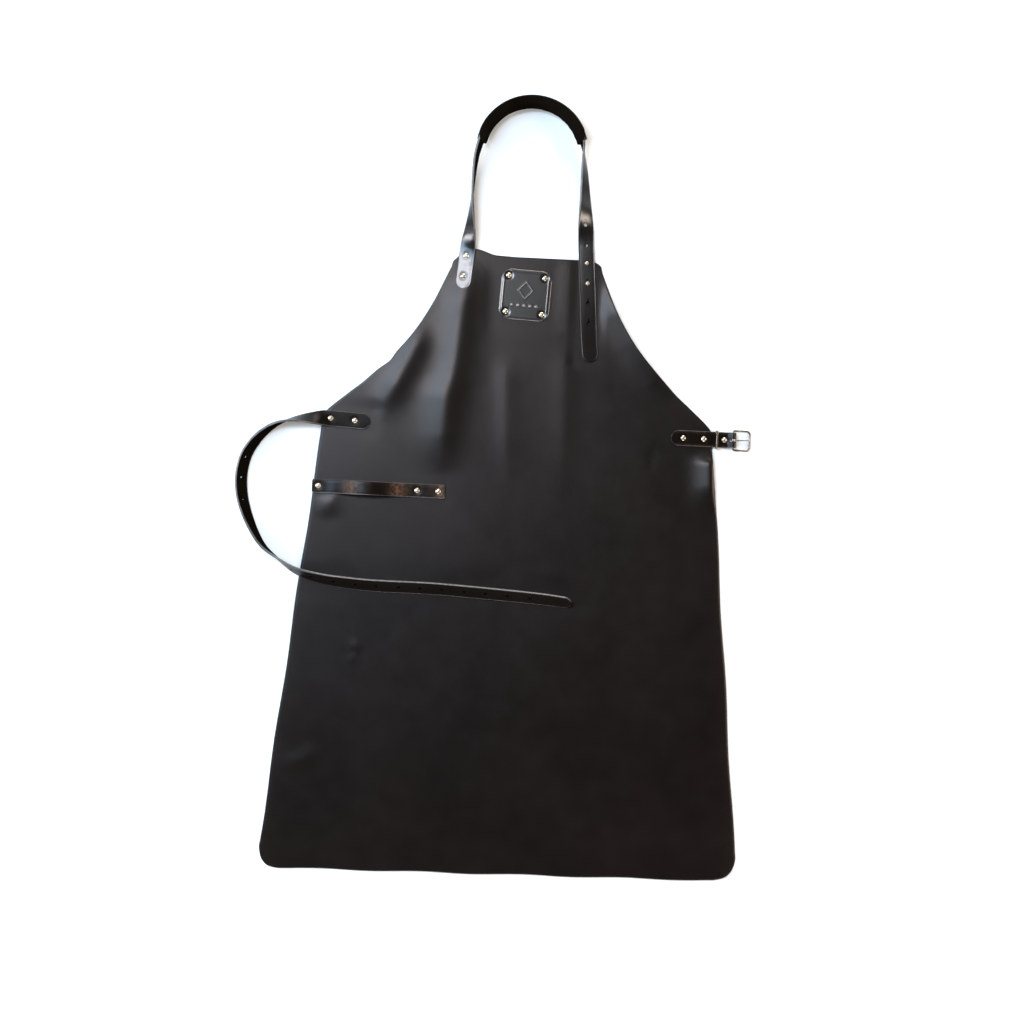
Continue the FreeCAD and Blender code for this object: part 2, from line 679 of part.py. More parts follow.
def rounded_oblong(half_width, low, high, corner):
    """Edges of an oblong with round corners, in the plane across X."""
    mid = corner * (1 - math.sqrt(0.5))
    flat = half_width - corner
    edges = [
        line(Vector(0, -flat, low), Vector(0, flat, low)),
        line(Vector(0, -flat, high), Vector(0, flat, high)),
    ]
    for side in (-1, 1):
        edge = side * half_width
        edges.append(line(Vector(0, edge, low + corner), Vector(0, edge, high - corner)))
        for level, inside in ((low, 1), (high, -1)):
            edges.append(arc(
                Vector(0, side * flat, level),
                Vector(0, side * (half_width - mid), level + inside * mid),
                Vector(0, side * half_width, level + inside * corner)))
    return Part.Face(Part.Wire(Part.__sortEdges__(edges)))


def keeper():
    """Metal loop round the tab that holds down the strap's tail."""
    outer = rounded_oblong(
        KEEPER_HALF + KEEPER_WIRE, KEEPER_BOTTOM - KEEPER_WIRE, KEEPER_TOP + KEEPER_WIRE,
        KEEPER_CORNER + KEEPER_WIRE)
    inner = rounded_oblong(KEEPER_HALF, KEEPER_BOTTOM, KEEPER_TOP, KEEPER_CORNER)
    ring = outer.cut(inner).extrude(Vector(KEEPER_WIDTH, 0, 0))
    ring = ring.makeFillet(KEEPER_EDGE, [e for e in ring.Edges if is_across(e)])
    ring.translate(Vector(KEEPER_X - KEEPER_WIDTH / 2, TAB_Y, 0))
    save("keeper_loop", [ring])


def is_across(edge):
    """True for an edge that lies in a plane across X."""
    box = edge.BoundBox
    return box.XLength < 1e-3


os.makedirs("parts", exist_ok=True)
panel()
badge()
neck_anchors()
neck_loop()
neck_pad()
towel_strap()
waist_strap()
buckle_tab()
buckle_frame()
buckle_prong()
keeper()
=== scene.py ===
import math

import bmesh
import bpy
import numpy as np
from mathutils import Euler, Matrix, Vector, noise


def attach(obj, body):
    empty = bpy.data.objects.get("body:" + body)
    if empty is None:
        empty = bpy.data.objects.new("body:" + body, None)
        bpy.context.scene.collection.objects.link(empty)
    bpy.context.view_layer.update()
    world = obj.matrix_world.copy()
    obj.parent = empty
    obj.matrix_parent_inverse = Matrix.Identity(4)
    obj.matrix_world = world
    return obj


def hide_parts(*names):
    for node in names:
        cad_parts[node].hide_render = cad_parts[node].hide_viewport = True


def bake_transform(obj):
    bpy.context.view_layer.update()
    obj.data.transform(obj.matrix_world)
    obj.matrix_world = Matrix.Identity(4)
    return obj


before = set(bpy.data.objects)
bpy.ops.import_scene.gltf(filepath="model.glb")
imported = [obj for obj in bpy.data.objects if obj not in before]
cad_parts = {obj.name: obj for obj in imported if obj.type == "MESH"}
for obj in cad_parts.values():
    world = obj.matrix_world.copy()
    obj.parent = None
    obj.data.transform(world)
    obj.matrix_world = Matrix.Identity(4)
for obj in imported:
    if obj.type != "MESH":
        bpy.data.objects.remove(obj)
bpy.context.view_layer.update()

# Leather butcher apron laid flat, face up.  Sizes are in millimetres, as in the
# CAD source, and become metres where a mesh is made.
MM = 0.001
UP = Vector((0, 0, 1))
# Corners of a square, in half sides from its middle
SQUARE = ((-1, 1), (1, 1), (1, -1), (-1, -1))

# Panel: right half of the outline from the hem to the bib, mirrored
PANEL_OUTLINE = [
    (300.0, -426.0), (314.5, -422.5), (323.5, -413.0), (327.5, -398.0), (326.0, -383.0),
    (320.0, -325.0), (300.2, -130.0), (284.5, 24.0), (274.7, 120.0), (269.0, 176.0),
    (268.5, 191.5), (260.0, 204.0), (234.0, 227.0), (207.0, 251.0), (159.0, 303.0),
    (127.0, 354.0), (105.0, 405.0), (100.5, 418.5), (87.0, 425.0),
]
PANEL_THICK = 2.0
PANEL_CELL = 4.0
PANEL_COLUMNS = 150
PANEL_ROUND = 0.5
PANEL_WEAR_POWER = 40

# Ways in which the cut isn't symmetric: how much, and between which x or y it sets in
HEM_SLOPE = 0.0185
HEM_SLOPE_Y = (-60.0, -420.0)
HEM_WAVE = 0.9
HEM_WAVE_RATE = 0.045
HEM_WAVE_Y = (-380.0, -420.0)
BIB_TOP_Y = (375.0, 425.0)
BIB_RISE = 7.0
BIB_RISE_X = (-42.0, -72.0)
BIB_CORNER_DROP = 10.0
BIB_CORNER_X = (-80.0, -100.0)
BIB_DIP = 1.5
BIB_DIP_X = (-60.0, -10.0)
SIDE_SHIFT = -2.2
SIDE_SHIFT_Y = (330.0, 210.0)
SIDE_WAVE = 1.0
SIDE_WAVE_RATE = 0.031
SIDE_WAVE_REACH = 250.0
KINK = 4.0
KINK_Y = 273.0
KINK_REACH = 9.0
KINK_X = (-150.0, -180.0)

# Soft ridges of the panel: path, height, and their reach to the left and right
FOLDS = [
    ([(-72, 425), (-78, 395), (-86, 354), (-89, 315), (-92, 276), (-99, 234), (-102, 174),
      (-101, 140), (-100, 116)], 4.4, 52, 56),
    ([(-132, 335), (-143, 305), (-156, 276), (-168, 250), (-178, 230), (-192, 208),
      (-212, 188)], 3.6, 38, 40),
    ([(-110, 262), (-108, 210), (-107, 160), (-107, 116)], 2.2, 75, 44),
    ([(-24, 300), (-19, 230), (-15, 160), (-10, 80)], 1.0, 26, 44),
    ([(56, 320), (60, 240), (62, 170), (56, 90)], 0.8, 36, 30),
    ([(116, 405), (134, 355), (154, 318), (188, 272), (220, 240)], 6.2, 46, 24),
    ([(265, 172), (267, 128), (269, 82)], 6.2, 38, 10),
    ([(-262, 90), (-258, 72), (-262, 50)], 1.5, 20, 30),
    ([(-205, -118), (-215, -126), (-228, -129)], 1.0, 14, 22),
    ([(-250, -262), (-282, -285), (-318, -292)], 0.9, 22, 26),
]
CREST_ROUND = 9.0
FOLD_POWER = 3
FOLD_FADE_IN = 0.25
FOLD_FADE_OUT = 0.45
# Small creases: path, depth, reach
CREASES = [
    ([(186, 168), (184, 146)], 0.9, 5.0),
    ([(-232, -112), (-218, -128), (-206, -131)], 1.1, 7.0),
    ([(30, -236), (22, -246), (6, -238)], 0.8, 8.0),
]
CREASE_ENDS = (0.12, 0.88)
# Flat places under the hardware: x, y, half sizes, reach
FLATS = [
    (86, 360, 14, 76, 14), (-1, 372, 36, 36, 24), (-243, 189, 38, 12, 24), (238, 186, 33, 12, 20),
    (-272, 96, 12, 10, 14), (-122, 96, 24, 10, 12), (-100, -40, 200, 8, 26),
]
SWELL = 0.8
SWELL_RATES = (0.009, 0.007)
SWELL_SEED = 5.0
SWELL_OFFSET = 0.15

# Fasteners: profiles are radius, height above the seat
CAP_RADIUS = 3.6
CAP_PROFILE = [
    (1.0, -1.2), (3.3, -1.2), (3.55, -0.3), (3.65, 0.1), (3.6, 0.4), (3.4, 0.65), (3.1, 0.9),
    (2.6, 1.22), (2.0, 1.5), (1.3, 1.72), (0.7, 1.8), (0.3, 1.79), (0.05, 1.78),
]
STUD_PROFILE = [
    (1.7, -3.0), (1.7, 0.45), (1.8, 0.8), (2.3, 1.15), (2.75, 1.7), (2.98, 2.4), (2.98, 3.0),
    (2.75, 3.9), (2.3, 4.6), (1.7, 5.0), (1.2, 5.2), (0.6, 5.3), (0.05, 5.32),
]
TURNED_SEGMENTS = 28
CAP_LEAN = 0.03
LEAN_TURNS = (2.4, 1.7)
DENT_DEPTH = 0.4
DENT_REACH = 2.4
BACK_ROOM = 0.6
BACK_REACH = 8.0

# Straps
STRAP_WIDTH = 21.5
STRAP_THICK = 3.2
STRAP_TOP = PANEL_THICK + STRAP_THICK
STRAP_BEVEL = 0.7
STRAP_CROWN = 0.25
STRAP_COLUMNS = 14
CORNER_TURNS = (60, 30, 0)
NOSE_TURN = 9
STATION_GAP = 1.8
ROUTE_STEPS = 12
RIPPLE = 0.12
RIPPLE_RATES = (0.09, 0.05)
EDGE_WEAR_POWER = 8
# Upward part of the grain face's normal, where its gloss starts and where it is full
SHINE_RANGE = (0.5, 0.9)
CREASE_ANGLE = 40.0
CUTTER_BOTTOM = -5.0
CUTTER_TOP = 30.0

# Neck strap: routes are x, y, tilt in degrees, height of the strap's lowest edge
NECK_LEFT_RIVETS = [(-84.5, 422.0), (-87.0, 393.6)]
NECK_STUDS = [(81.7, 419.0), (83.9, 391.5)]
NECK_KEYHOLES = NECK_STUDS + [(86.1, 364.0), (88.3, 336.5), (79.6, 444.5), (77.4, 472.0)]
KEYHOLE_RADIUS = 2.3
KEYHOLE_SLIT = 7.0
KEYHOLE_SLIT_WIDTH = 0.8
KEYHOLE_SIDES = 22
NECK_LEFT_ROUTE = [
    (-87.7, 377.0, 5.0, 1.1),
    (-86.0, 395.0, 6.0, 0.9),
    (-84.4, 413.0, 6.0, 0.9),
    (-82.9, 431.0, 12.0, 0.9),
    (-82.0, 443.0, 28.0, 1.2),
    (-80.9, 458.0, 50.0, 0.9),
    (-80.2, 478.0, 70.0, 0.3),
    (-79.8, 506.0, 88.0, 0.2),
    (-78.8, 535.0, 96.0, 1.2),
    (-76.3, 560.0, 101.0, 4.2),
]
NECK_RIGHT_ROUTE = [
    (68.9, 578.0, 94.0, 5.6),
    (70.6, 562.0, 80.0, 3.8),
    (72.6, 540.0, 67.0, 2.4),
    (74.2, 519.0, 57.0, 1.4),
    (75.8, 498.0, 45.0, 0.8),
    (77.3, 478.0, 26.0, 0.6),
    (78.6, 461.0, 7.0, 0.9),
    (79.6, 445.0, 0.0, 1.6),
    (80.7, 431.0, 0.0, 2.0),
    (83.6, 395.0, 1.0, 2.0),
    (86.5, 359.0, 3.0, 2.0),
    (89.2, 322.0, 6.0, 2.0),
    (93.2, 285.0, 9.0, 2.0),
]
ARCH_CENTRE = (-1.0, 563.0)
ARCH_RADIUS = 72.0
ARCH_TILT = 104.0
ARCH_START = 166.0
ARCH_END = 22.0
ARCH_STEPS = 24
ARCH_SUPPORT = 6.8

# Waist strap: the route's values are those of the neck strap's
WAIST_RIVETS = [(-226.5, 188.0), (-259.7, 189.6)]
WAIST_ROUTE = [
    (-205.5, 187.0, 0.0, 2.0),
    (-230.0, 188.2, 0.0, 2.0),
    (-252.0, 189.2, 0.0, 2.0),
    (-266.0, 189.8, 8.0, 2.0),
    (-280.0, 189.0, 36.0, 1.8),
    (-295.0, 187.8, 58.0, 1.2),
    (-311.0, 185.4, 76.0, 0.6),
    (-328.0, 180.5, 92.0, 0.1),
    (-345.0, 170.0, 105.0, 0.0),
    (-360.5, 154.0, 115.0, 0.0),
    (-373.0, 132.0, 122.0, 0.0),
    (-378.0, 104.0, 125.0, 0.0),
    (-374.5, 73.0, 122.0, 0.0),
    (-362.0, 40.0, 111.0, 0.0),
    (-345.0, 12.0, 98.0, 0.1),
    (-323.0, -6.0, 84.0, 0.8),
    (-297.0, -21.5, 67.0, 2.3),
    (-265.0, -30.2, 54.0, 2.3),
    (-230.0, -34.6, 46.0, 2.3),
    (-186.0, -37.0, 43.0, 2.3),
    (-110.0, -37.2, 43.0, 2.3),
    (-35.0, -40.2, 43.0, 2.3),
    (40.0, -44.2, 45.0, 2.3),
    (83.0, -48.1, 50.0, 2.3),
]
WAIST_HOLE_RADIUS = 2.2
WAIST_HOLE_PITCH = 30.0
WAIST_HOLE_COUNT = 19
WAIST_HOLE_END = 57.0
WAIST_HOLE_SIDES = 20

# Towel strap
TOWEL_WIDTH = 19.0
TOWEL_THICK = 3.0
TOWEL_Y = 96.0
TOWEL_ENDS = (-281.0, -98.0)
TOWEL_BOW = (-264.0, -145.0)
TOWEL_BOW_HEIGHT = 13.0
TOWEL_CORNER = 2.5
TOWEL_CORNER_SHARE = 0.9
TOWEL_STEPS = 150
TOWEL_BUNCH = 0.02
TOWEL_RIPPLE = 0.25
# Painted warm highlights, chiefly on the bow's slopes, in the lighter worn colour: distance from the left
# end, and reach
TOWEL_GLINTS = [(56.0, 10.0), (122.0, 11.0), (181.0, 8.0)]
TOWEL_RIVETS = [(-272.5, TOWEL_Y), (-136.2, TOWEL_Y), (-107.2, TOWEL_Y)]

# Buckle tab
TAB_Y = 186.0
TAB_INNER_END = 209.5
TAB_RIVETS = [(226.1, TAB_Y), (254.3, TAB_Y)]
FOLD_RIVET = (282.7, TAB_Y)
BAR_X = 295.0
BAR_Z = 4.2
FOLD_THICK = 2.4
FOLD_RADIUS = 2.7
FOLD_LAYER_X = 279.0
FOLD_LAYER_STEPS = 10
FOLD_TURNS = 12
TAB_STEPS = 34
TAB_THIN_X = (270.0, 280.0)
# Rise of the tab over the bar: x, z, slope in degrees
TAB_RISE = [(286.0, 4.0, 0.0), (288.0, 4.25, 16.0), (290.5, 5.3, 26.0), (293.0, 6.45, 16.0)]
TAB_RISE_STEPS = 4
PRONG_SLOT_X = (288.5, 303.0)
PRONG_SLOT_HALF = 2.0
PRONG_SLOT_TOP = 20.0

# Badge patch
BADGE_CENTRE = (-0.6, 372.1)
BADGE_TURN = -2.7
BADGE_HALF = 34.5
BADGE_CORNER = 14.0
BADGE_THICK = 2.2
BADGE_CELL = 0.6
BADGE_RIVET_HALF = 25.0
BADGE_RELIEF = 0.7
BADGE_RIM_MIDDLE = 3.8
BADGE_RIM_HALF = 0.9
BADGE_RIM_SHARE = 0.2
BADGE_DENT = 0.8
BADGE_DENT_REACH = 1.8
BADGE_EDGE_DROP = 0.6
BADGE_EDGE_REACH = 0.9
BADGE_WEAR = 0.4
BADGE_WEAR_REACH = 1.2
LOZENGE_HALF = (11.0, 13.0)
LOZENGE_RISE = 6.0
LOZENGE_LINE = 0.9
LOZENGE_LINE_HALF = 0.1
BEAD_COUNT = 5
BEAD_PITCH = 8.4
BEAD_RADIUS = 2.3
BEAD_EDGE = 0.4
BEAD_DROP = -15.0

# Neck pad: degrees round the arch, millimetres across and out of the strap
PAD_HALF_WIDTH = 17.0
PAD_LINING_ENDS = (170.0, 14.0)
PAD_OUTER_ENDS = (167.0, 18.0)
PAD_FLAP = 15.0
PAD_STEPS = 110
PAD_TIP_SHARE = 0.08
PAD_GAP = 0.05
PAD_LEATHER = 1.3
PAD_FILLING = 3.3
PAD_FILLING_POWER = 0.6
PAD_CROWN = 0.6
PAD_FLARE = 1.6
PAD_TUNNEL = 2.0
PAD_TUNNEL_HALF = 11.2
PAD_TUNNEL_SIDE = 3.0
# Crumples: size, and how often they repeat
PAD_CRUMPLES = [(0.55, 1.4), (0.3, 3.7)]
PAD_CRUMPLE_SPREAD = (9.0, 1.2)
PAD_CRUMPLE_SHARES = (0.5, 1.1)

# Materials
WARM_SHEEN = (1.0, 0.88, 0.84, 1.0)
STEEP_GLOSS = 0.12
COAT_ROUGHNESS = 0.3

# Camera, floor and light, in metres and degrees; lens and sensor in millimetres
CAMERA_PLACE = (-0.0043, 0.0729, 2.2)
CAMERA_TURN = 2.8
CAMERA_LENS = 56.1
CAMERA_SENSOR = 36.0
FLOOR_REACH = 5.0
FLOOR_LEVEL = -0.0004
WORLD_COLOUR = (0.95, 0.97, 1.0, 1.0)
WORLD_STRENGTH = 0.02
# Softboxes: name, place, target, size, power in watts, colour
LIGHTS = [
    ("window", (-0.62, 0.86, 2.3), (-0.1, 0.2, 0.0), (0.56, 0.56), 20.0, (0.94, 0.95, 0.98)),
    ("sky", (-1.35, 0.8, 1.95), (-0.1, 0.1, 0.0), (1.2, 1.5), 52.0, (0.48, 0.74, 1.0)),
    ("cool_side", (-2.8, 0.4, 1.0), (0.0, 0.0, 0.0), (1.8, 1.0), 80.0, (0.9, 0.95, 1.0)),
    ("warm_side", (2.5, 0.2, 1.4), (0.0, 0.0, 0.0), (1.6, 0.9), 45.0, (1.0, 0.9, 0.8)),
    ("far_side", (0.2, 3.1, 0.9), (0.0, 0.2, 0.0), (2.2, 0.9), 85.0, (1.0, 0.95, 0.9)),
    ("near_side", (0.1, -2.6, 1.5), (0.0, -0.2, 0.0), (2.4, 0.6), 52.0, (1.0, 0.95, 0.9)),
]


# Making meshes


def smooth_route(points, steps):
    """Catmull-Rom curve through points of any number of values."""
    ends = [points[0]] + points + [points[-1]]
    curve = []
    for before, a, b, after in zip(ends, ends[1:], ends[2:], ends[3:]):
        for step in range(steps):
            t = step / steps
            curve.append(tuple(
                p + 0.5 * t * (q - o + t * (2 * o - 5 * p + 4 * q - r + t * (3 * (p - q) + r - o)))
                for o, p, q, r in zip(before, a, b, after)))
    curve.append(points[-1])
    return curve


def smoothstep(value):
    """0 up to 0, 1 from 1, and a smooth rise between them."""
    t = np.clip(value, 0.0, 1.0)
    return t * t * (3 - 2 * t)


def rise_between(value, start, end):
    """0 up to start, 1 from end, and a smooth rise between them."""
    return smoothstep((value - start) / (end - start))


def new_piece(name, points, faces, looks, kinds=None, wear_and_glint=None, crease=CREASE_ANGLE):
    """Object from points in millimetres, with a look for each kind of face."""
    mesh = bpy.data.meshes.new(name)
    mesh.from_pydata([tuple(MM * value for value in p) for p in points], [], faces)
    for look in looks:
        mesh.materials.append(look)
    if kinds is not None:
        mesh.polygons.foreach_set("material_index", kinds)
    if wear_and_glint is not None:
        mesh.attributes.new("wear_and_glint", "FLOAT", "POINT").data.foreach_set("value", wear_and_glint)
    sides = bmesh.new()
    sides.from_mesh(mesh)
    bmesh.ops.recalc_face_normals(sides, faces=sides.faces)
    sides.to_mesh(mesh)
    sides.free()
    smooth_mesh(mesh, crease)
    obj = bpy.data.objects.new(name, mesh)
    bpy.context.scene.collection.objects.link(obj)
    return obj


def smooth_mesh(mesh, crease):
    """Smooth shading, with edges sharper than an angle kept sharp."""
    mesh.polygons.foreach_set("use_smooth", [True] * len(mesh.polygons))
    mesh.set_sharp_from_angle(angle=math.radians(crease))


def tube_faces(rings, size):
    """Faces of rings of points joined in a row, with closed ends."""
    faces = []
    for i in range(rings - 1):
        for j in range(size):
            k = (j + 1) % size
            faces.append((i * size + j, i * size + k, (i + 1) * size + k, (i + 1) * size + j))
    faces.append(tuple(range(size)))
    faces.append(tuple((rings - 1) * size + j for j in range(size)))
    return faces


def grid_faces(start, rows, columns):
    """Faces of a grid of points, row by row from the point numbered start."""
    wide = columns + 1
    corners = [start + i * wide + j for i in range(rows) for j in range(columns)]
    return [(a, a + 1, a + wide + 1, a + wide) for a in corners]


def grid_ring(rows, columns):
    """Points round the outside of a grid, in order."""
    wide = columns + 1
    ring = list(range(wide)) + [i * wide + columns for i in range(1, rows + 1)]
    ring += list(range(rows * wide + columns - 1, rows * wide - 1, -1))
    ring += [i * wide for i in range(rows - 1, 0, -1)]
    return ring


def band_faces(upper, lower):
    """Faces between two closed rings with as many points each."""
    pairs = list(zip(upper, lower))
    return [(a, c, d, b) for (a, b), (c, d) in zip(pairs, pairs[1:] + pairs[:1])]


def cut_holes(obj, cutter):
    """Cuts a closed cutter out of a piece and removes the cutter."""
    modifier = obj.modifiers.new("holes", "BOOLEAN")
    modifier.operation = "DIFFERENCE"
    modifier.solver = "EXACT"
    modifier.object = cutter
    graph = bpy.context.evaluated_depsgraph_get()
    cut = bpy.data.meshes.new_from_object(obj.evaluated_get(graph))
    obj.modifiers.clear()
    obj.data = cut
    bpy.data.objects.remove(cutter)
    smooth_mesh(cut, CREASE_ANGLE)


def prisms(outlines, looks, kind):
    """One cutter of several prisms, each a ring of low points and a ring of high ones."""
    points = []
    faces = []
    for low, high in outlines:
        start = len(points)
        points += low + high
        faces += [tuple(start + k for k in face) for face in tube_faces(2, len(low))]
    return new_piece("cutter", points, faces, looks, [kind] * len(faces))


# Straps


GRAIN, EDGE, FLESH = 0, 1, 2


def strap_section(half, thick):
    """Cross-section of a strap as (across, deep) points, from its grain face round."""
    flat = half - STRAP_BEVEL
    steps = [flat * (2 * i / STRAP_COLUMNS - 1) for i in range(STRAP_COLUMNS + 1)]
    corner = [math.radians(a) for a in CORNER_TURNS]
    level = thick / 2 - STRAP_BEVEL
    loop = [(u, thick / 2 - STRAP_CROWN * (u / half) ** 4) for u in steps]
    right = [(flat + STRAP_BEVEL * math.cos(a), level + STRAP_BEVEL * math.sin(a)) for a in corner]
    right += [(u, -v) for u, v in reversed(right)]
    loop += right
    loop += [(u, -thick / 2) for u in reversed(steps)]
    loop += [(-u, v) for u, v in reversed(right)]
    return loop


def section_kinds():
    """Which side of a strap each face round its section belongs to."""
    side = [EDGE] * (2 * len(CORNER_TURNS) + 1)
    return [GRAIN] * STRAP_COLUMNS + side + [FLESH] * STRAP_COLUMNS + side


def round_nose():
    """Distances from a strap's end at which its rounded tip has stations."""
    radius = STRAP_WIDTH / 2
    return [radius * (1 - math.cos(math.radians(a))) for a in range(NOSE_TURN, 90, NOSE_TURN)]


def nose_half(from_end):
    """Half width of a strap at a distance from its rounded end."""
    radius = STRAP_WIDTH / 2
    return math.sqrt(radius ** 2 - (radius - min(from_end, radius)) ** 2)


def stations_on(route, inner_side):
    """Stations of (centre, across, face, half width, thickness) along a route.

    The route gives x, y, tilt and lowest edge; inner_side is 1 where the inner
    edge is on the right of the direction of travel, -1 where it is on the left."""
    line = np.array(route)
    steps = np.hypot(np.diff(line[:, 0]), np.diff(line[:, 1]))
    travelled = np.concatenate([[0.0], np.cumsum(steps)])
    slopes = np.gradient(line[:, :2], axis=0)
    radius = STRAP_WIDTH / 2
    nose = round_nose()
    middle = travelled[-1] - 2 * radius
    count = round(middle / STATION_GAP)
    places = nose + [radius + middle * i / count for i in range(count + 1)]
    places += [travelled[-1] - d for d in reversed(nose)]
    stations = []
    for place in places:
        x, y, tilt, low = [np.interp(place, travelled, line[:, k]) for k in range(4)]
        slope_x, slope_y = [np.interp(place, travelled, slopes[:, k]) for k in range(2)]
        inward = Vector((slope_y, -slope_x, 0)).normalized() * inner_side
        angle = math.radians(tilt)
        across = inward * math.cos(angle) + UP * math.sin(angle)
        face = UP * math.cos(angle) - inward * math.sin(angle)
        half = nose_half(min(place, travelled[-1] - place))
        stations.append((Vector((x, y, low + strap_rise(angle))), across, face, half, STRAP_THICK))
    return stations


def strap_rise(angle):
    """Height of a tilted strap's middle above its lowest edge."""
    return STRAP_WIDTH / 2 * math.sin(angle) + STRAP_THICK / 2 * abs(math.cos(angle))


def dent(point, caps):
    """How far leather is pressed in at a point by the rims of rivet caps."""
    beyond = [max((point - Vector(cap)).length - CAP_RADIUS, 0.0) for cap in caps]
    return sum(DENT_DEPTH * math.exp(-(distance / DENT_REACH) ** 2) for distance in beyond)


def strap_piece(name, stations, looks, caps, seed, ripple=RIPPLE, glints=()):
    """Closed strap through its stations, dented at its rivets and slightly uneven.

    The glints are stretches painted in the lighter worn colour as highlight: middle along the strap, and
    reach."""
    points = []
    wear_and_glint = []
    shine = []
    travelled = 0.0
    before = stations[0][0]
    for centre, across, face, half, thick in stations:
        travelled += (centre - before).length
        before = centre
        # Painted highlight: share of the lighter worn colour along each glint stretch of the strap.
        wear_and_glint_share = max([math.exp(-((travelled - place) / reach) ** 2) for place, reach in glints], default=0.0)
        for u, v in strap_section(half, thick):
            point = centre + across * u + face * v
            spot = Vector((travelled * RIPPLE_RATES[0], u * RIPPLE_RATES[1], seed))
            lift = ripple * noise.noise(spot)
            if v > 0:
                lift -= dent(point, caps)
            points.append(point + face * lift)
            # Real wear towards the edges; painted highlight in the glint stretches.
            wear_and_glint.append(max(min(abs(u) / STRAP_WIDTH * 2, 1.0) ** EDGE_WEAR_POWER, wear_and_glint_share))
            shine.append(float(rise_between(face.z, *SHINE_RANGE)))
    faces = tube_faces(len(stations), len(section_kinds()))
    kinds = section_kinds() * (len(stations) - 1) + [EDGE, EDGE]
    strap = new_piece(name, points, faces, looks, kinds, wear_and_glint)
    strap.data.attributes.new("shine", "FLOAT", "POINT").data.foreach_set("value", shine)
    return strap


def on_top(places, z=STRAP_TOP):
    """Points above plan places."""
    return [(x, y, z) for x, y in places]


def arch_route():
    """Route points round the arch of the neck strap."""
    route = []
    for i in range(ARCH_STEPS + 1):
        angle = math.radians(ARCH_START + (ARCH_END - ARCH_START) * i / ARCH_STEPS)
        x = ARCH_CENTRE[0] + ARCH_RADIUS * math.cos(angle)
        y = ARCH_CENTRE[1] + ARCH_RADIUS * math.sin(angle)
        route.append((x, y, ARCH_TILT, ARCH_SUPPORT))
    return route


def keyhole_outline(x, y):
    """Low and high ring of an upright cutter for a round hole with a slit above it."""
    half = KEYHOLE_SLIT_WIDTH / 2
    ring = [(x - half, y + KEYHOLE_SLIT), (x + half, y + KEYHOLE_SLIT)]
    opening = math.degrees(math.asin(half / KEYHOLE_RADIUS))
    turn = 360 - 2 * opening
    for i in range(KEYHOLE_SIDES + 1):
        angle = math.radians(90 - opening - turn * i / KEYHOLE_SIDES)
        ring.append((x + KEYHOLE_RADIUS * math.cos(angle), y + KEYHOLE_RADIUS * math.sin(angle)))
    ring.reverse()
    return [(px, py, CUTTER_BOTTOM) for px, py in ring], [(px, py, CUTTER_TOP) for px, py in ring]


def neck_strap(looks):
    """One strap from the left rivets, round the arch, to the studs on the right."""
    arch = arch_route()
    left = smooth_route(NECK_LEFT_ROUTE + [arch[0]], ROUTE_STEPS)[:-1]
    right = smooth_route([arch[-1]] + NECK_RIGHT_ROUTE, ROUTE_STEPS)[1:]
    stations = stations_on(left + arch + right, 1)
    strap = strap_piece("neck_strap", stations, looks, on_top(NECK_LEFT_RIVETS), seed=1.0)
    cut_holes(strap, prisms([keyhole_outline(x, y) for x, y in NECK_KEYHOLES], looks, FLESH))
    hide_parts("neck_strap_left_anchor", "neck_strap_loop", "neck_strap_right_tail")
    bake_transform(strap)


def hole_outline(centre, across, face):
    """Low and high ring of a cutter for a round hole through a strap."""
    along = across.cross(face)
    ring = []
    for i in range(WAIST_HOLE_SIDES):
        angle = 2 * math.pi * i / WAIST_HOLE_SIDES
        u = WAIST_HOLE_RADIUS * math.cos(angle)
        v = WAIST_HOLE_RADIUS * math.sin(angle)
        ring.append(centre + across * u + along * v)
    depth = face * (2 * STRAP_THICK)
    return [tuple(p - depth) for p in ring], [tuple(p + depth) for p in ring]


def waist_strap(looks):
    """Long adjusting strap, riveted at the left hip, then standing on its edge."""
    route = smooth_route(WAIST_ROUTE, ROUTE_STEPS)
    stations = stations_on(route, -1)
    strap = strap_piece("waist_strap", stations, looks, on_top(WAIST_RIVETS), seed=2.0)
    cuts = []
    wanted = WAIST_HOLE_END
    travelled = 0.0
    for here, there in zip(reversed(stations), reversed(stations[:-1])):
        travelled += (here[0] - there[0]).length
        if travelled >= wanted and len(cuts) < WAIST_HOLE_COUNT:
            cuts.append(hole_outline(there[0], there[1], there[2]))
            wanted += WAIST_HOLE_PITCH
    cut_holes(strap, prisms(cuts, looks, FLESH))
    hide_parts("waist_strap_anchor", "waist_strap_free")
    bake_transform(strap)


def flat_station(x, y, z, slope, half, thick):
    """Station of a strap that runs along X and climbs at a slope in degrees."""
    angle = math.radians(slope)
    face = Vector((-math.sin(angle), 0, math.cos(angle)))
    return (Vector((x, y, z)), Vector((0, -1, 0)), face, half, thick)


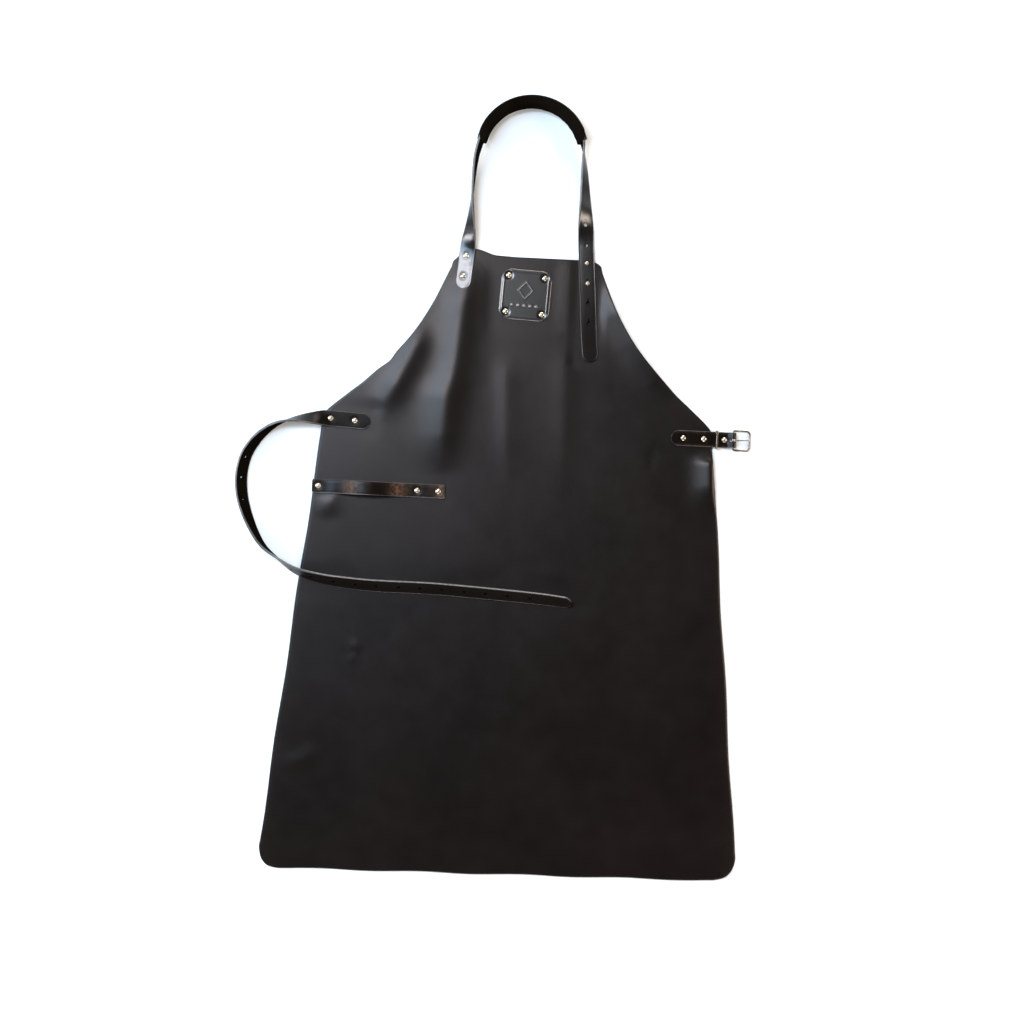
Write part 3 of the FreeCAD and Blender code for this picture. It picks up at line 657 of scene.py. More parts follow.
def towel_strap(looks):
    """Short strap riveted at both ends, bowed clear of the panel between them."""
    stations = []
    start, end = TOWEL_ENDS
    bow_length = TOWEL_BOW[1] - TOWEL_BOW[0]
    for i in range(TOWEL_STEPS + 1):
        share = i / TOWEL_STEPS
        x = start + (end - start) * (share - math.sin(4 * math.pi * share) * TOWEL_BUNCH)
        in_corner = max(TOWEL_CORNER - min(x - start, end - x), 0)
        inset = TOWEL_CORNER - math.sqrt(TOWEL_CORNER ** 2 - in_corner ** 2)
        bow = min(max((x - TOWEL_BOW[0]) / bow_length, 0), 1)
        lift = TOWEL_BOW_HEIGHT * (1 - math.cos(2 * math.pi * bow)) / 2
        rate = TOWEL_BOW_HEIGHT * math.pi * math.sin(2 * math.pi * bow) / bow_length
        slope = math.degrees(math.atan(rate))
        z = PANEL_THICK + TOWEL_THICK / 2 + lift
        half = TOWEL_WIDTH / 2 - inset * TOWEL_CORNER_SHARE
        stations.append(flat_station(x, TOWEL_Y, z, slope, half, TOWEL_THICK))
    caps = on_top(TOWEL_RIVETS, PANEL_THICK + TOWEL_THICK)
    # The glints paint warm highlights along the strap, chiefly on the bow's slopes.
    strap = strap_piece(
        "towel_strap_leather", stations, looks, caps, seed=3.0, ripple=TOWEL_RIPPLE, glints=TOWEL_GLINTS)
    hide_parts("towel_strap")
    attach(strap, "apron")


def tab_stations():
    """Stations of the buckle tab from its rounded end, round the bar and back under itself."""
    radius = STRAP_WIDTH / 2
    straight_x = TAB_INNER_END + radius
    rise_x = TAB_RISE[0][0]
    middle_z = STRAP_TOP - STRAP_THICK / 2
    stations = []
    for d in round_nose() + [radius]:
        stations.append(flat_station(TAB_INNER_END + d, TAB_Y, middle_z, 0.0, nose_half(d), STRAP_THICK))
    for i in range(1, TAB_STEPS + 1):
        x = straight_x + (rise_x - straight_x) * i / TAB_STEPS
        thick = STRAP_THICK + (FOLD_THICK - STRAP_THICK) * float(rise_between(x, *TAB_THIN_X))
        stations.append(flat_station(x, TAB_Y, STRAP_TOP - thick / 2, 0.0, radius, thick))
    rise = smooth_route(TAB_RISE + [(BAR_X, BAR_Z + FOLD_RADIUS, 0.0)], TAB_RISE_STEPS)
    for x, z, slope in rise[1:]:
        stations.append(flat_station(x, TAB_Y, z, slope, radius, FOLD_THICK))
    for i in range(1, FOLD_TURNS + 1):
        turn = 180.0 * i / FOLD_TURNS
        angle = math.radians(turn)
        x = BAR_X + FOLD_RADIUS * math.sin(angle)
        z = BAR_Z + FOLD_RADIUS * math.cos(angle)
        stations.append(flat_station(x, TAB_Y, z, -turn, radius, FOLD_THICK))
    for i in range(1, FOLD_LAYER_STEPS + 1):
        x = BAR_X + (FOLD_LAYER_X - BAR_X) * i / FOLD_LAYER_STEPS
        stations.append(flat_station(x, TAB_Y, BAR_Z - FOLD_RADIUS, -180.0, radius, FOLD_THICK))
    return stations


def buckle_tab(looks):
    """Tab riveted at the right hip, folded back round the buckle's bar."""
    caps = on_top(TAB_RIVETS + [FOLD_RIVET])
    tab = strap_piece("buckle_tab_leather", tab_stations(), looks, caps, seed=4.0)
    low_x, high_x = PRONG_SLOT_X
    ring = [(low_x, -1), (low_x, 1), (high_x, 1), (high_x, -1)]
    low = [(x, TAB_Y + side * PRONG_SLOT_HALF, CUTTER_BOTTOM) for x, side in ring]
    high = [(x, y, PRONG_SLOT_TOP) for x, y, _ in low]
    cut_holes(tab, prisms([(low, high)], looks, EDGE))
    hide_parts("tab_anchor", "tab_fold")
    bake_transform(tab)


# Panel


def near_path(x, y, path):
    """Signed distance to a path, positive on its right, and the share of the way along it."""
    best = np.full(x.shape, 1e9)
    side = np.zeros(x.shape)
    share = np.zeros(x.shape)
    legs = len(path) - 1
    for i in range(legs):
        (ax, ay), (bx, by) = path[i], path[i + 1]
        dx, dy = bx - ax, by - ay
        t = np.clip(((x - ax) * dx + (y - ay) * dy) / (dx * dx + dy * dy), 0.0, 1.0)
        away = np.hypot(x - ax - t * dx, y - ay - t * dy)
        closer = away < best
        cross = dx * (y - ay) - dy * (x - ax)
        side = np.where(closer, np.where(cross > 0, 1.0, -1.0), side)
        share = np.where(closer, (i + t) / legs, share)
        best = np.where(closer, away, best)
    return best * side, share


def ridge(x, y, path, height, left, right):
    """Height of a soft ridge along a path that runs down the apron."""
    signed, share = near_path(x, y, path)
    reach = np.where(signed > 0, right, left)
    away = np.hypot(signed, CREST_ROUND) - CREST_ROUND
    rise = np.clip(1 - away / reach, 0, 1)
    fade = smoothstep(share / FOLD_FADE_IN) * smoothstep((1 - share) / FOLD_FADE_OUT)
    return height * rise ** FOLD_POWER * fade


def sheet_height(x, y):
    """Height of the panel's underside above the floor."""
    height = np.zeros(x.shape)
    for path, rise, left, right in FOLDS:
        height += ridge(x, y, path, rise, left, right)
    spots = zip(x * SWELL_RATES[0], y * SWELL_RATES[1])
    swell = np.array([noise.noise(Vector((a, b, SWELL_SEED))) for a, b in spots])
    height += SWELL * np.clip(swell + SWELL_OFFSET, 0, 1)
    for path, depth, reach in CREASES:
        signed, share = near_path(x, y, path)
        along = np.sin(math.pi * np.clip(share, *CREASE_ENDS))
        height -= depth * np.exp(-(signed / reach) ** 2) * along
    flat = np.ones(x.shape)
    for cx, cy, wide, tall, reach in FLATS:
        away = np.hypot(np.maximum(np.abs(x - cx) - wide, 0), np.maximum(np.abs(y - cy) - tall, 0))
        flat *= smoothstep(away / reach)
    return np.maximum(height * flat, 0.0)


def sheet_warp(x, y):
    """Plan position with the small ways in which the real cut isn't symmetric."""
    curl = BIB_RISE * rise_between(x, *BIB_RISE_X) - BIB_CORNER_DROP * rise_between(x, *BIB_CORNER_X)
    curl -= BIB_DIP * rise_between(x, *BIB_DIP_X)
    new_y = y + HEM_SLOPE * x * rise_between(y, *HEM_SLOPE_Y) + curl * rise_between(y, *BIB_TOP_Y)
    new_y += HEM_WAVE * np.sin(x * HEM_WAVE_RATE) * rise_between(y, *HEM_WAVE_Y)
    new_x = x + SIDE_SHIFT * rise_between(y, *SIDE_SHIFT_Y)
    new_x += SIDE_WAVE * np.sin(y * SIDE_WAVE_RATE) * np.clip(np.abs(x) / SIDE_WAVE_REACH, 0, 1)
    new_x += KINK * np.exp(-((y - KINK_Y) / KINK_REACH) ** 2) * rise_between(x, *KINK_X)
    return new_x, new_y


def panel(looks):
    """The apron: one soft sheet of leather with a shaped bib."""
    curve = np.array(smooth_route(PANEL_OUTLINE, ROUTE_STEPS))
    steps = np.hypot(np.diff(curve[:, 0]), np.diff(curve[:, 1]))
    travelled = np.concatenate([[0.0], np.cumsum(steps)])
    rows = round(travelled[-1] / PANEL_CELL)
    places = np.linspace(0.0, travelled[-1], rows + 1)
    half = np.interp(places, travelled, curve[:, 0])
    level = np.interp(places, travelled, curve[:, 1])
    wide = PANEL_COLUMNS + 1
    share = np.linspace(-1.0, 1.0, wide)
    grid_x, grid_y = sheet_warp((half[:, None] * share).ravel(), np.repeat(level, wide))
    height = sheet_height(grid_x, grid_y)

    ring = grid_ring(rows, PANEL_COLUMNS)
    along_x = np.roll(grid_x[ring], -1) - np.roll(grid_x[ring], 1)
    along_y = np.roll(grid_y[ring], -1) - np.roll(grid_y[ring], 1)
    length = np.hypot(along_x, along_y)
    out_x = grid_x[ring] + PANEL_ROUND * along_y / length
    out_y = grid_y[ring] - PANEL_ROUND * along_x / length

    under = height.copy()
    for x, y in panel_rivets():
        away = np.hypot(grid_x - x, grid_y - y)
        under += BACK_ROOM * np.exp(-(away / BACK_REACH) ** 4)
    count = len(grid_x)
    points = list(zip(grid_x, grid_y, height + PANEL_THICK))
    points += list(zip(grid_x, grid_y, under))
    for lift in (PANEL_THICK - PANEL_ROUND, PANEL_ROUND):
        points += list(zip(out_x, out_y, height[ring] + lift))
    size = len(ring)
    loops = [ring, [2 * count + k for k in range(size)], [2 * count + size + k for k in range(size)]]
    loops.append([count + k for k in ring])
    faces = grid_faces(0, rows, PANEL_COLUMNS) + grid_faces(count, rows, PANEL_COLUMNS)
    kinds = [GRAIN] * (len(faces) // 2) + [FLESH] * (len(faces) // 2)
    for upper, lower in zip(loops, loops[1:]):
        faces += band_faces(upper, lower)
        kinds += [EDGE] * size
    across = np.abs(np.tile(share, rows + 1))
    wear_and_glint = list(across ** PANEL_WEAR_POWER) * 2 + [1.0] * (2 * size)
    sheet = new_piece("apron_sheet", points, faces, looks, kinds, wear_and_glint, crease=60.0)
    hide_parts("apron_panel")
    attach(sheet, "apron")


def badge_rivets():
    """Rivet places at the corners of the badge."""
    angle = math.radians(BADGE_TURN)
    places = []
    for u, v in SQUARE:
        x = BADGE_CENTRE[0] + BADGE_RIVET_HALF * (u * math.cos(angle) - v * math.sin(angle))
        y = BADGE_CENTRE[1] + BADGE_RIVET_HALF * (u * math.sin(angle) + v * math.cos(angle))
        places.append((x, y))
    return places


def panel_rivets():
    """Every rivet or stud whose back is on the panel's underside."""
    straps = NECK_LEFT_RIVETS + NECK_STUDS + WAIST_RIVETS + TOWEL_RIVETS + TAB_RIVETS
    return straps + badge_rivets()


def badge_outline():
    """Right half of the badge's rounded square, from its lower edge up."""
    flat = BADGE_HALF - BADGE_CORNER
    turns = [math.radians(a) for a in range(0, 90, 5)]
    ends = [(flat + BADGE_CORNER * math.sin(a), flat + BADGE_CORNER * math.cos(a)) for a in turns]
    count = round(2 * flat / BADGE_CELL)
    outline = [(w, -v) for w, v in ends]
    outline += [(BADGE_HALF, flat * (2 * i / count - 1)) for i in range(count + 1)]
    outline += [(w, v) for w, v in reversed(ends)]
    return outline


def badge_figure(u, v):
    """Embossed lozenge and row of beads, 1 where they stand proud."""
    diamond = np.abs(u) / LOZENGE_HALF[0] + np.abs(v - LOZENGE_RISE) / LOZENGE_HALF[1]
    figure = np.exp(-((diamond - LOZENGE_LINE) / LOZENGE_LINE_HALF) ** 4)
    for i in range(BEAD_COUNT):
        middle = (i - (BEAD_COUNT - 1) / 2) * BEAD_PITCH
        away = np.hypot(u - middle, v - BEAD_DROP) / BEAD_RADIUS
        figure = np.maximum(figure, smoothstep((1 - away) / BEAD_EDGE))
    return figure


def badge(looks):
    """Riveted patch with a plain embossed rim, a lozenge and a row of beads."""
    outline = badge_outline()
    rows = len(outline) - 1
    columns = round(2 * BADGE_HALF / BADGE_CELL)
    share = np.linspace(-1.0, 1.0, columns + 1)
    u = np.concatenate([w * share for w, _ in outline])
    v = np.repeat([level for _, level in outline], columns + 1)
    inset = BADGE_HALF - corner_distance(u, v)
    rim = np.exp(-((inset - BADGE_RIM_MIDDLE) / BADGE_RIM_HALF) ** 4)
    figure = badge_figure(u, v)
    top = BADGE_THICK + BADGE_RELIEF * np.maximum(BADGE_RIM_SHARE * rim, figure)
    for a, b in SQUARE:
        away = np.hypot(u - a * BADGE_RIVET_HALF, v - b * BADGE_RIVET_HALF)
        top -= BADGE_DENT * np.exp(-(np.maximum(away - CAP_RADIUS, 0) / BADGE_DENT_REACH) ** 2)
    top -= BADGE_EDGE_DROP * smoothstep((BADGE_EDGE_REACH - inset) / BADGE_EDGE_REACH)
    size = len(u)
    angle = math.radians(BADGE_TURN)
    x = BADGE_CENTRE[0] + u * math.cos(angle) - v * math.sin(angle)
    y = BADGE_CENTRE[1] + u * math.sin(angle) + v * math.cos(angle)
    points = list(zip(x, y, PANEL_THICK + top)) + list(zip(x, y, np.full(size, PANEL_THICK)))
    ring = grid_ring(rows, columns)
    faces = grid_faces(0, rows, columns) + grid_faces(size, rows, columns)
    kinds = [GRAIN] * (len(faces) // 2) + [FLESH] * (len(faces) // 2) + [EDGE] * len(ring)
    faces += band_faces(ring, [size + k for k in ring])
    edge_wear = BADGE_WEAR * smoothstep((BADGE_WEAR_REACH - inset) / BADGE_WEAR_REACH)
    # The lozenge and beads take the light worn colour as painted highlight; the band at the edge is real
    # wear.
    wear_and_glint = list(np.maximum(edge_wear, figure)) + [0.0] * size
    patch = new_piece("badge_leather_patch", points, faces, looks, kinds, wear_and_glint)
    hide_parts("badge_patch")
    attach(patch, "apron")


def corner_distance(u, v):
    """Half width of the rounded square through each point."""
    flat = BADGE_HALF - BADGE_CORNER
    a = np.maximum(np.abs(u) - flat, 0)
    b = np.maximum(np.abs(v) - flat, 0)
    round_part = np.hypot(a, b)
    inner = np.maximum(np.abs(u), np.abs(v))
    return np.where(round_part > 0, flat + round_part, inner)


# Neck pad


def pad_layer(name, ends, profile, looks, seed):
    """One layer of the pad: a strip round the arch whose ends are rounded flaps."""
    start, end = ends
    length = math.radians(start - end) * ARCH_RADIUS
    tilt = math.radians(ARCH_TILT)
    middle = Vector((ARCH_CENTRE[0], ARCH_CENTRE[1], ARCH_SUPPORT + strap_rise(tilt)))
    points = []
    for i in range(PAD_STEPS + 1):
        share = (1 - math.cos(math.pi * i / PAD_STEPS)) / 2 * 0.5 + 0.5 * i / PAD_STEPS
        angle = math.radians(start + (end - start) * share)
        from_end = length * min(share, 1 - share)
        nose = min(from_end / PAD_FLAP, 1.0)
        narrow = max(math.sqrt(1 - (1 - nose) ** 2), PAD_TIP_SHARE)
        flare = (1 - nose) ** 2
        outward = Vector((math.cos(angle), math.sin(angle), 0))
        across = UP * math.sin(tilt) - outward * math.cos(tilt)
        face = UP * math.cos(tilt) + outward * math.sin(tilt)
        centre = middle + outward * ARCH_RADIUS
        growth = PAD_CRUMPLE_SHARES[0] + PAD_CRUMPLE_SHARES[1] * share
        for a, depth in profile(flare):
            side = a * PAD_HALF_WIDTH * narrow
            spot = Vector((share * PAD_CRUMPLE_SPREAD[0], a * PAD_CRUMPLE_SPREAD[1], seed))
            crumple = sum(size * noise.noise(spot * rate) for size, rate in PAD_CRUMPLES)
            wrinkle = crumple * growth * (1 - abs(a) ** 6)
            points.append(centre + across * side + face * (depth + math.copysign(wrinkle, depth)))
    faces = tube_faces(PAD_STEPS + 1, len(profile(0.0)))
    return new_piece(name, points, faces, looks, crease=50.0)


def layer_depth(a, flare):
    """How far a layer's hidden face stands off the strap's middle, at a share across it."""
    into_side = (abs(a) * PAD_HALF_WIDTH - PAD_TUNNEL_HALF + PAD_TUNNEL_SIDE / 2) / PAD_TUNNEL_SIDE
    return PAD_TUNNEL * float(1 - smoothstep(into_side)) + PAD_FLARE * flare


def across_shares():
    """Places across the pad from edge to edge, as shares of its half width."""
    return [math.sin(math.radians(d)) for d in range(-90, 91, 10)]


def lining_profile(flare):
    """Padded layer on the inside of the arch, as (share across, depth) points."""
    front = []
    for a in across_shares():
        padding = PAD_LEATHER + PAD_FILLING * (1 - a ** 2) ** PAD_FILLING_POWER
        front.append((a, -layer_depth(a, flare) - padding))
    back = [(a, -PAD_GAP - layer_depth(a, flare)) for a in reversed(across_shares())]
    return front + back


def outer_profile(flare):
    """Leather layer on the outside of the arch, as (share across, depth) points."""
    back = [(a, PAD_GAP + layer_depth(a, flare)) for a in across_shares()]
    front = []
    for a in reversed(across_shares()):
        front.append((a, PAD_LEATHER + layer_depth(a, flare) + PAD_CROWN * (1 - a ** 2)))
    return back + front


def neck_pad(outer_look, lining_look):
    """Sleeve of two layers that slides round the arch."""
    outer = pad_layer("neck_pad_outer_leather", PAD_OUTER_ENDS, outer_profile, [outer_look], seed=7.0)
    lining = pad_layer(
        "neck_pad_soft_lining", PAD_LINING_ENDS, lining_profile, [lining_look], seed=8.0)
    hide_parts("neck_pad_outer")
    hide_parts("neck_pad_lining")
    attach(outer, "neck_pad")
    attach(lining, "neck_pad")


# Fasteners


def turned(places, seat, profile, looks, name, lean):
    """Turned metal parts from one profile of (radius, height), each leaning a little its own way."""
    points = []
    faces = []
    for index, (x, y) in enumerate(places):
        base = len(points)
        lean_x = lean * math.sin(LEAN_TURNS[0] * index)
        lean_y = lean * math.cos(LEAN_TURNS[1] * index + x)
        tip = Euler((lean_x, lean_y, 0)).to_matrix()
        for radius, z in profile:
            for k in range(TURNED_SEGMENTS):
                angle = 2 * math.pi * k / TURNED_SEGMENTS
                spot = tip @ Vector((radius * math.cos(angle), radius * math.sin(angle), z))
                points.append(spot + Vector((x, y, seat)))
        ring_faces = tube_faces(len(profile), TURNED_SEGMENTS)
        faces += [tuple(base + k for k in face) for face in ring_faces]
    return new_piece(name, points, faces, looks, crease=35.0)


def fasteners(looks):
    """Rivet caps and ball studs; their backs are the CAD's own."""
    towel_top = PANEL_THICK + TOWEL_THICK
    groups = [
        ("neck", NECK_LEFT_RIVETS, STRAP_TOP, "apron", "neck_rivet_caps"),
        ("waist", WAIST_RIVETS, STRAP_TOP, "apron", "waist_rivet_caps"),
        ("tab", TAB_RIVETS, STRAP_TOP, "apron", "tab_rivet_caps"),
        ("towel", TOWEL_RIVETS, towel_top, "apron", "towel_rivet_caps"),
        ("badge", badge_rivets(), PANEL_THICK + BADGE_THICK, "apron", "badge_rivet_caps"),
        ("fold", [FOLD_RIVET], STRAP_TOP, "buckle_tab", "fold_rivet_cap"),
    ]
    for name, places, seat, body, node in groups:
        caps = turned(places, seat, CAP_PROFILE, looks, name + "_domed_caps", CAP_LEAN)
        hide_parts(node)
        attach(caps, body)
    studs = turned(NECK_STUDS, STRAP_TOP, STUD_PROFILE, looks, "neck_ball_studs", 0.0)
    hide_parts("neck_stud_balls")
    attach(studs, "apron")


# Materials


def add(tree, kind, inputs=None, **settings):
    """New shader node; each input is a value or another node's output."""
    made = tree.nodes.new("ShaderNode" + kind)
    for key, value in settings.items():
        setattr(made, key, value)
    for key, value in (inputs or {}).items():
        if isinstance(value, bpy.types.NodeSocket):
            tree.links.new(value, made.inputs[key])
        else:
            made.inputs[key].default_value = value
    return made


def ramp(tree, value, stops):
    """Colour that runs through stops of (place, colour)."""
    made = add(tree, "ValToRGB", {"Fac": value})
    elements = made.color_ramp.elements
    elements.remove(elements[1])
    elements[0].position = stops[0][0]
    elements[0].color = (*stops[0][1], 1.0)
    for place, colour in stops[1:]:
        elements.new(place).color = (*colour, 1.0)
    return made.outputs["Color"]


def spread(tree, value, low, high, to_low, to_high):
    """Maps a value from one range to another, clamped."""
    ends = {"Value": value, "From Min": low, "From Max": high, "To Min": to_low, "To Max": to_high}
    return add(tree, "MapRange", ends).outputs["Result"]


def calculate(tree, operation, a, b):
    """Result of one maths operation."""
    return add(tree, "Math", {0: a, 1: b}, operation=operation).outputs["Value"]


def noise_at(tree, spot, scale, detail=4.0):
    """Value of a noise texture."""
    return add(tree, "TexNoise", {"Vector": spot, "Scale": scale, "Detail": detail}).outputs["Fac"]


def bump(tree, height, distance, before=None):
    """Normal of a bump of that depth in metres."""
    inputs = {"Height": height, "Distance": distance}
    if before is not None:
        inputs["Normal"] = before
    return add(tree, "Bump", inputs).outputs["Normal"]


def blank(name):
    """New material's node tree, its shader and the object coordinates."""
    made = bpy.data.materials.new(name)
    made.use_nodes = True
    tree = made.node_tree
    shader = tree.nodes["Principled BSDF"]
    return made, tree, shader, add(tree, "TexCoord").outputs["Object"]


def leather(name, colours, wear_and_glint_colour, rough, grain, depth, gloss, coat=0.0, cracks=0.0, uneven=0.0001,
            polished=False):
    """Grain leather: pebbled surface, cloudy colour, lighter worn edges, and that lighter colour as
    painted highlight where a mesh marks glints.

    Polished leather is glossy only where the "shine" of its mesh says so."""
    made, tree, shader, spot = blank(name)
    cloud = noise_at(tree, spot, 7.0, 6.0)
    fine = noise_at(tree, spot, 260.0)
    pebble = add(tree, "TexVoronoi", {"Vector": spot, "Scale": 1.0 / grain}, feature="DISTANCE_TO_EDGE")
    ground = calculate(tree, "MULTIPLY", fine, 0.35)
    base = ramp(tree, cloud, [(0.3, colours[0]), (0.52, colours[1]), (0.7, colours[2])])
    # Mask of real edge wear and of painted highlights, both shown in the lighter colour.
    wear_and_glint = add(tree, "Attribute", attribute_name="wear_and_glint").outputs["Fac"]
    wear_and_glint_share = calculate(tree, "MULTIPLY", wear_and_glint, spread(tree, fine, 0.35, 0.6, 0.2, 1.0))
    colour = add(tree, "MixRGB", {"Fac": wear_and_glint_share, "Color1": base, "Color2": (*wear_and_glint_colour, 1.0)}).outputs["Color"]
    tree.links.new(colour, shader.inputs["Base Color"])
    streaks = noise_at(tree, spot, 34.0, 5.0)
    dull = spread(tree, calculate(tree, "ADD", cloud, streaks), 0.7, 1.3, rough - 0.02, rough + 0.03)
    tree.links.new(dull, shader.inputs["Roughness"])
    shader.inputs["Specular Tint"].default_value = WARM_SHEEN
    shader.inputs["Specular IOR Level"].default_value = gloss
    shader.inputs["Coat Weight"].default_value = coat
    if polished:
        shine = add(tree, "Attribute", attribute_name="shine").outputs["Fac"]
        level = spread(tree, shine, 0.0, 1.0, STEEP_GLOSS * gloss, gloss)
        tree.links.new(level, shader.inputs["Specular IOR Level"])
        tree.links.new(spread(tree, shine, 0.0, 1.0, 0.0, coat), shader.inputs["Coat Weight"])
    shader.inputs["Coat Roughness"].default_value = COAT_ROUGHNESS
    cell = spread(tree, pebble.outputs["Distance"], 0.0, 0.28, 0.0, 1.0)
    normal = bump(tree, cell, depth)
    normal = bump(tree, ground, depth * 0.6, normal)
    normal = bump(tree, streaks, uneven, normal)
    if cracks:
        stretched = add(tree, "Mapping", {"Vector": spot, "Scale": (3.0, 1.0, 1.0)}).outputs["Vector"]
        lines = noise_at(tree, stretched, 190.0, 6.0)
        normal = bump(tree, lines, cracks, normal)
    tree.links.new(normal, shader.inputs["Normal"])
    return made


def fibre(name, dark, light, rough, scale, depth):
    """Flesh side, cut edge or felt: matt fibres with no grain."""
    made, tree, shader, spot = blank(name)
    strands = noise_at(tree, spot, scale, 8.0)
    patches = noise_at(tree, spot, 22.0, 4.0)
    fine_part = calculate(tree, "MULTIPLY", strands, 0.6)
    mixed = calculate(tree, "ADD", fine_part, calculate(tree, "MULTIPLY", patches, 0.4))
    tree.links.new(ramp(tree, mixed, [(0.35, dark), (0.65, light)]), shader.inputs["Base Color"])
    tree.links.new(spread(tree, strands, 0.3, 0.7, rough - 0.08, rough + 0.06), shader.inputs["Roughness"])
    shader.inputs["Specular IOR Level"].default_value = 0.0
    tree.links.new(bump(tree, mixed, depth), shader.inputs["Normal"])
    return made


def metal(name, dark, light, rough, brush):
    """Plated metal: cloudy tarnish, fine scratches and a little unevenness."""
    made, tree, shader, spot = blank(name)
    tarnish = noise_at(tree, spot, 160.0, 5.0)
    scratched = add(tree, "Mapping", {"Vector": spot, "Scale": brush}).outputs["Vector"]
    lines = noise_at(tree, scratched, 900.0, 3.0)
    tree.links.new(ramp(tree, tarnish, [(0.38, dark), (0.62, light)]), shader.inputs["Base Color"])
    shader.inputs["Metallic"].default_value = 1.0
    tree.links.new(spread(tree, tarnish, 0.35, 0.65, rough + 0.12, rough), shader.inputs["Roughness"])
    normal = bump(tree, lines, 0.00001)
    tree.links.new(bump(tree, tarnish, 0.00006, normal), shader.inputs["Normal"])
    return made


def make_looks():
    """Every material of the apron."""
    strap_colours = [(0.003, 0.002, 0.0014), (0.0045, 0.0028, 0.002), (0.008, 0.005, 0.0034)]
    return {
        "panel": leather(
            "apron_grain_leather",
            [(0.0026, 0.0014, 0.001), (0.0034, 0.0018, 0.0013), (0.0044, 0.0024, 0.0017)],
            wear_and_glint_colour=(0.009, 0.006, 0.0045), rough=0.345, grain=0.0011, depth=0.00002, gloss=0.4),
        "panel_edge": fibre(
            "apron_cut_edge", (0.006, 0.0045, 0.0035), (0.014, 0.010, 0.008),
            rough=0.6, scale=900.0, depth=0.0001),
        "panel_back": fibre(
            "apron_flesh_side", (0.045, 0.030, 0.021), (0.085, 0.058, 0.040),
            rough=0.85, scale=700.0, depth=0.0003),
        "strap": leather(
            "strap_grain_leather", strap_colours,
            wear_and_glint_colour=(0.02, 0.015, 0.012), rough=0.22, grain=0.0009, depth=0.00001, gloss=0.5,
            coat=0.8, polished=True),
        "waist": leather(
            "waist_strap_grain_leather",
            [(0.002, 0.0014, 0.001), (0.003, 0.002, 0.0015), (0.005, 0.0034, 0.0026)],
            wear_and_glint_colour=(0.012, 0.01, 0.009), rough=0.34, grain=0.0009, depth=0.00002, gloss=0.12),
        "short": leather(
            "short_strap_grain_leather", strap_colours,
            # Brown of the edge wear, also used as painted warm highlight on the towel strap's bow.
            wear_and_glint_colour=(0.09, 0.048, 0.03), rough=0.24, grain=0.0009, depth=0.00001, gloss=0.22,
            coat=0.08, cracks=0.00006, polished=True),
        "strap_edge": leather(
            "strap_burnished_edge",
            [(0.02, 0.019, 0.019), (0.035, 0.033, 0.033), (0.055, 0.052, 0.052)],
            wear_and_glint_colour=(0.08, 0.076, 0.076), rough=0.3, grain=0.0012, depth=0.00004, gloss=0.5, coat=0.2),
        "strap_back": fibre(
            "strap_flesh_side", (0.0028, 0.002, 0.0012), (0.006, 0.0044, 0.003),
            rough=0.75, scale=800.0, depth=0.0002),
        "badge": leather(
            "badge_polished_leather",
            [(0.003, 0.0024, 0.002), (0.0045, 0.0034, 0.0028), (0.007, 0.005, 0.004)],
            # Light colour of the edge wear, also used as painted highlight on the lozenge and beads.
            wear_and_glint_colour=(0.2, 0.17, 0.15), rough=0.17, grain=0.0012, depth=0.000002, gloss=0.5,
            coat=1.0, uneven=0.00002),
        "pad": leather(
            "pad_matt_leather",
            [(0.0025, 0.002, 0.0017), (0.0035, 0.003, 0.0026), (0.006, 0.0055, 0.005)],
            wear_and_glint_colour=(0.02, 0.018, 0.017), rough=0.5, grain=0.0014, depth=0.00006, gloss=0.1),
        "lining": fibre(
            "pad_woven_lining", (0.0024, 0.0017, 0.001), (0.009, 0.0066, 0.0048),
            rough=0.8, scale=900.0, depth=0.00025),
        "brass": metal(
            "rivet_antique_brass", (0.40, 0.31, 0.22), (0.74, 0.64, 0.52),
            rough=0.26, brush=(1.0, 1.0, 6.0)),
        "steel": metal(
            "buckle_nickel", (0.12, 0.09, 0.07), (0.32, 0.27, 0.225),
            rough=0.24, brush=(1.0, 6.0, 1.0)),
    }


def dress_cad_nodes(looks):
    """Gives the CAD nodes that still show their metal."""
    for name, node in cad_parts.items():
        if not node.hide_render:
            steel = name.startswith(("buckle", "keeper"))
            node.data.materials.clear()
            node.data.materials.append(looks["steel"] if steel else looks["brass"])


# Stage


def softbox(name, place, target, size, power, colour):
    """Large soft light, turned towards its target."""
    lamp = bpy.data.lights.new(name, "AREA")
    lamp.shape = "RECTANGLE"
    lamp.size, lamp.size_y = size
    lamp.energy = power
    lamp.color = colour
    obj = bpy.data.objects.new(name, lamp)
    obj.location = place
    obj.rotation_euler = (Vector(target) - obj.location).to_track_quat("-Z", "Y").to_euler()
    bpy.context.scene.collection.objects.link(obj)


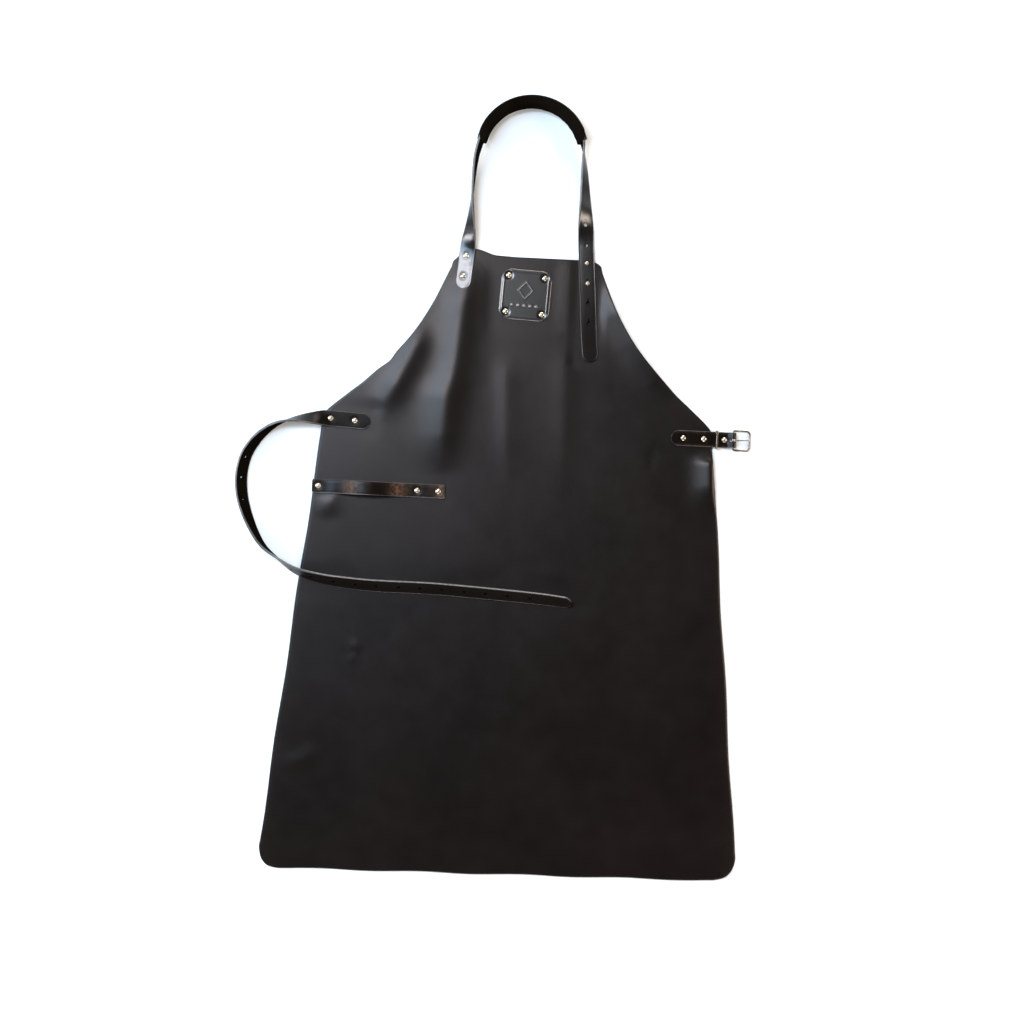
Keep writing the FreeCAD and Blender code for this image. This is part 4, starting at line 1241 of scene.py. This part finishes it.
def floor():
    """Pale, matt floor under everything."""
    made, tree, shader, spot = blank("pale_floor")
    tone = noise_at(tree, spot, 3.0)
    colour = ramp(tree, tone, [(0.3, (0.88, 0.88, 0.88)), (0.7, (0.92, 0.92, 0.92))])
    tree.links.new(colour, shader.inputs["Base Color"])
    shader.inputs["Roughness"].default_value = 0.9
    shader.inputs["Specular IOR Level"].default_value = 0.1
    mesh = bpy.data.meshes.new("floor")
    corners = [(x * FLOOR_REACH, y * FLOOR_REACH, FLOOR_LEVEL) for x, y in reversed(SQUARE)]
    mesh.from_pydata(corners, [], [(0, 1, 2, 3)])
    mesh.materials.append(made)
    obj = bpy.data.objects.new("floor", mesh)
    bpy.context.scene.collection.objects.link(obj)


def overhead_camera():
    """Camera straight above the apron, turned a little."""
    lens = bpy.data.cameras.new("camera")
    lens.lens = CAMERA_LENS
    lens.sensor_width = CAMERA_SENSOR
    camera = bpy.data.objects.new("camera", lens)
    camera.location = CAMERA_PLACE
    camera.rotation_euler = (0.0, 0.0, math.radians(CAMERA_TURN))
    bpy.context.scene.collection.objects.link(camera)
    bpy.context.scene.camera = camera


def studio_light():
    """Softboxes, a faint even sky, and a plain view of their brightness."""
    for name, place, target, size, power, colour in LIGHTS:
        softbox(name, place, target, size, power, colour)
    world = bpy.data.worlds.new("studio")
    world.use_nodes = True
    sky = world.node_tree.nodes["Background"]
    sky.inputs["Color"].default_value = WORLD_COLOUR
    sky.inputs["Strength"].default_value = WORLD_STRENGTH
    bpy.context.scene.world = world
    bpy.context.scene.view_settings.view_transform = "Standard"


floor()
overhead_camera()
studio_light()
looks = make_looks()
strap_sides = [looks["strap_edge"], looks["strap_back"]]
panel([looks["panel"], looks["panel_edge"], looks["panel_back"]])
badge([looks["badge"]] + strap_sides)
neck_strap([looks["strap"]] + strap_sides)
waist_strap([looks["waist"]] + strap_sides)
towel_strap([looks["short"]] + strap_sides)
buckle_tab([looks["short"]] + strap_sides)
neck_pad(looks["pad"], looks["lining"])
fasteners([looks["brass"]])
dress_cad_nodes(looks)
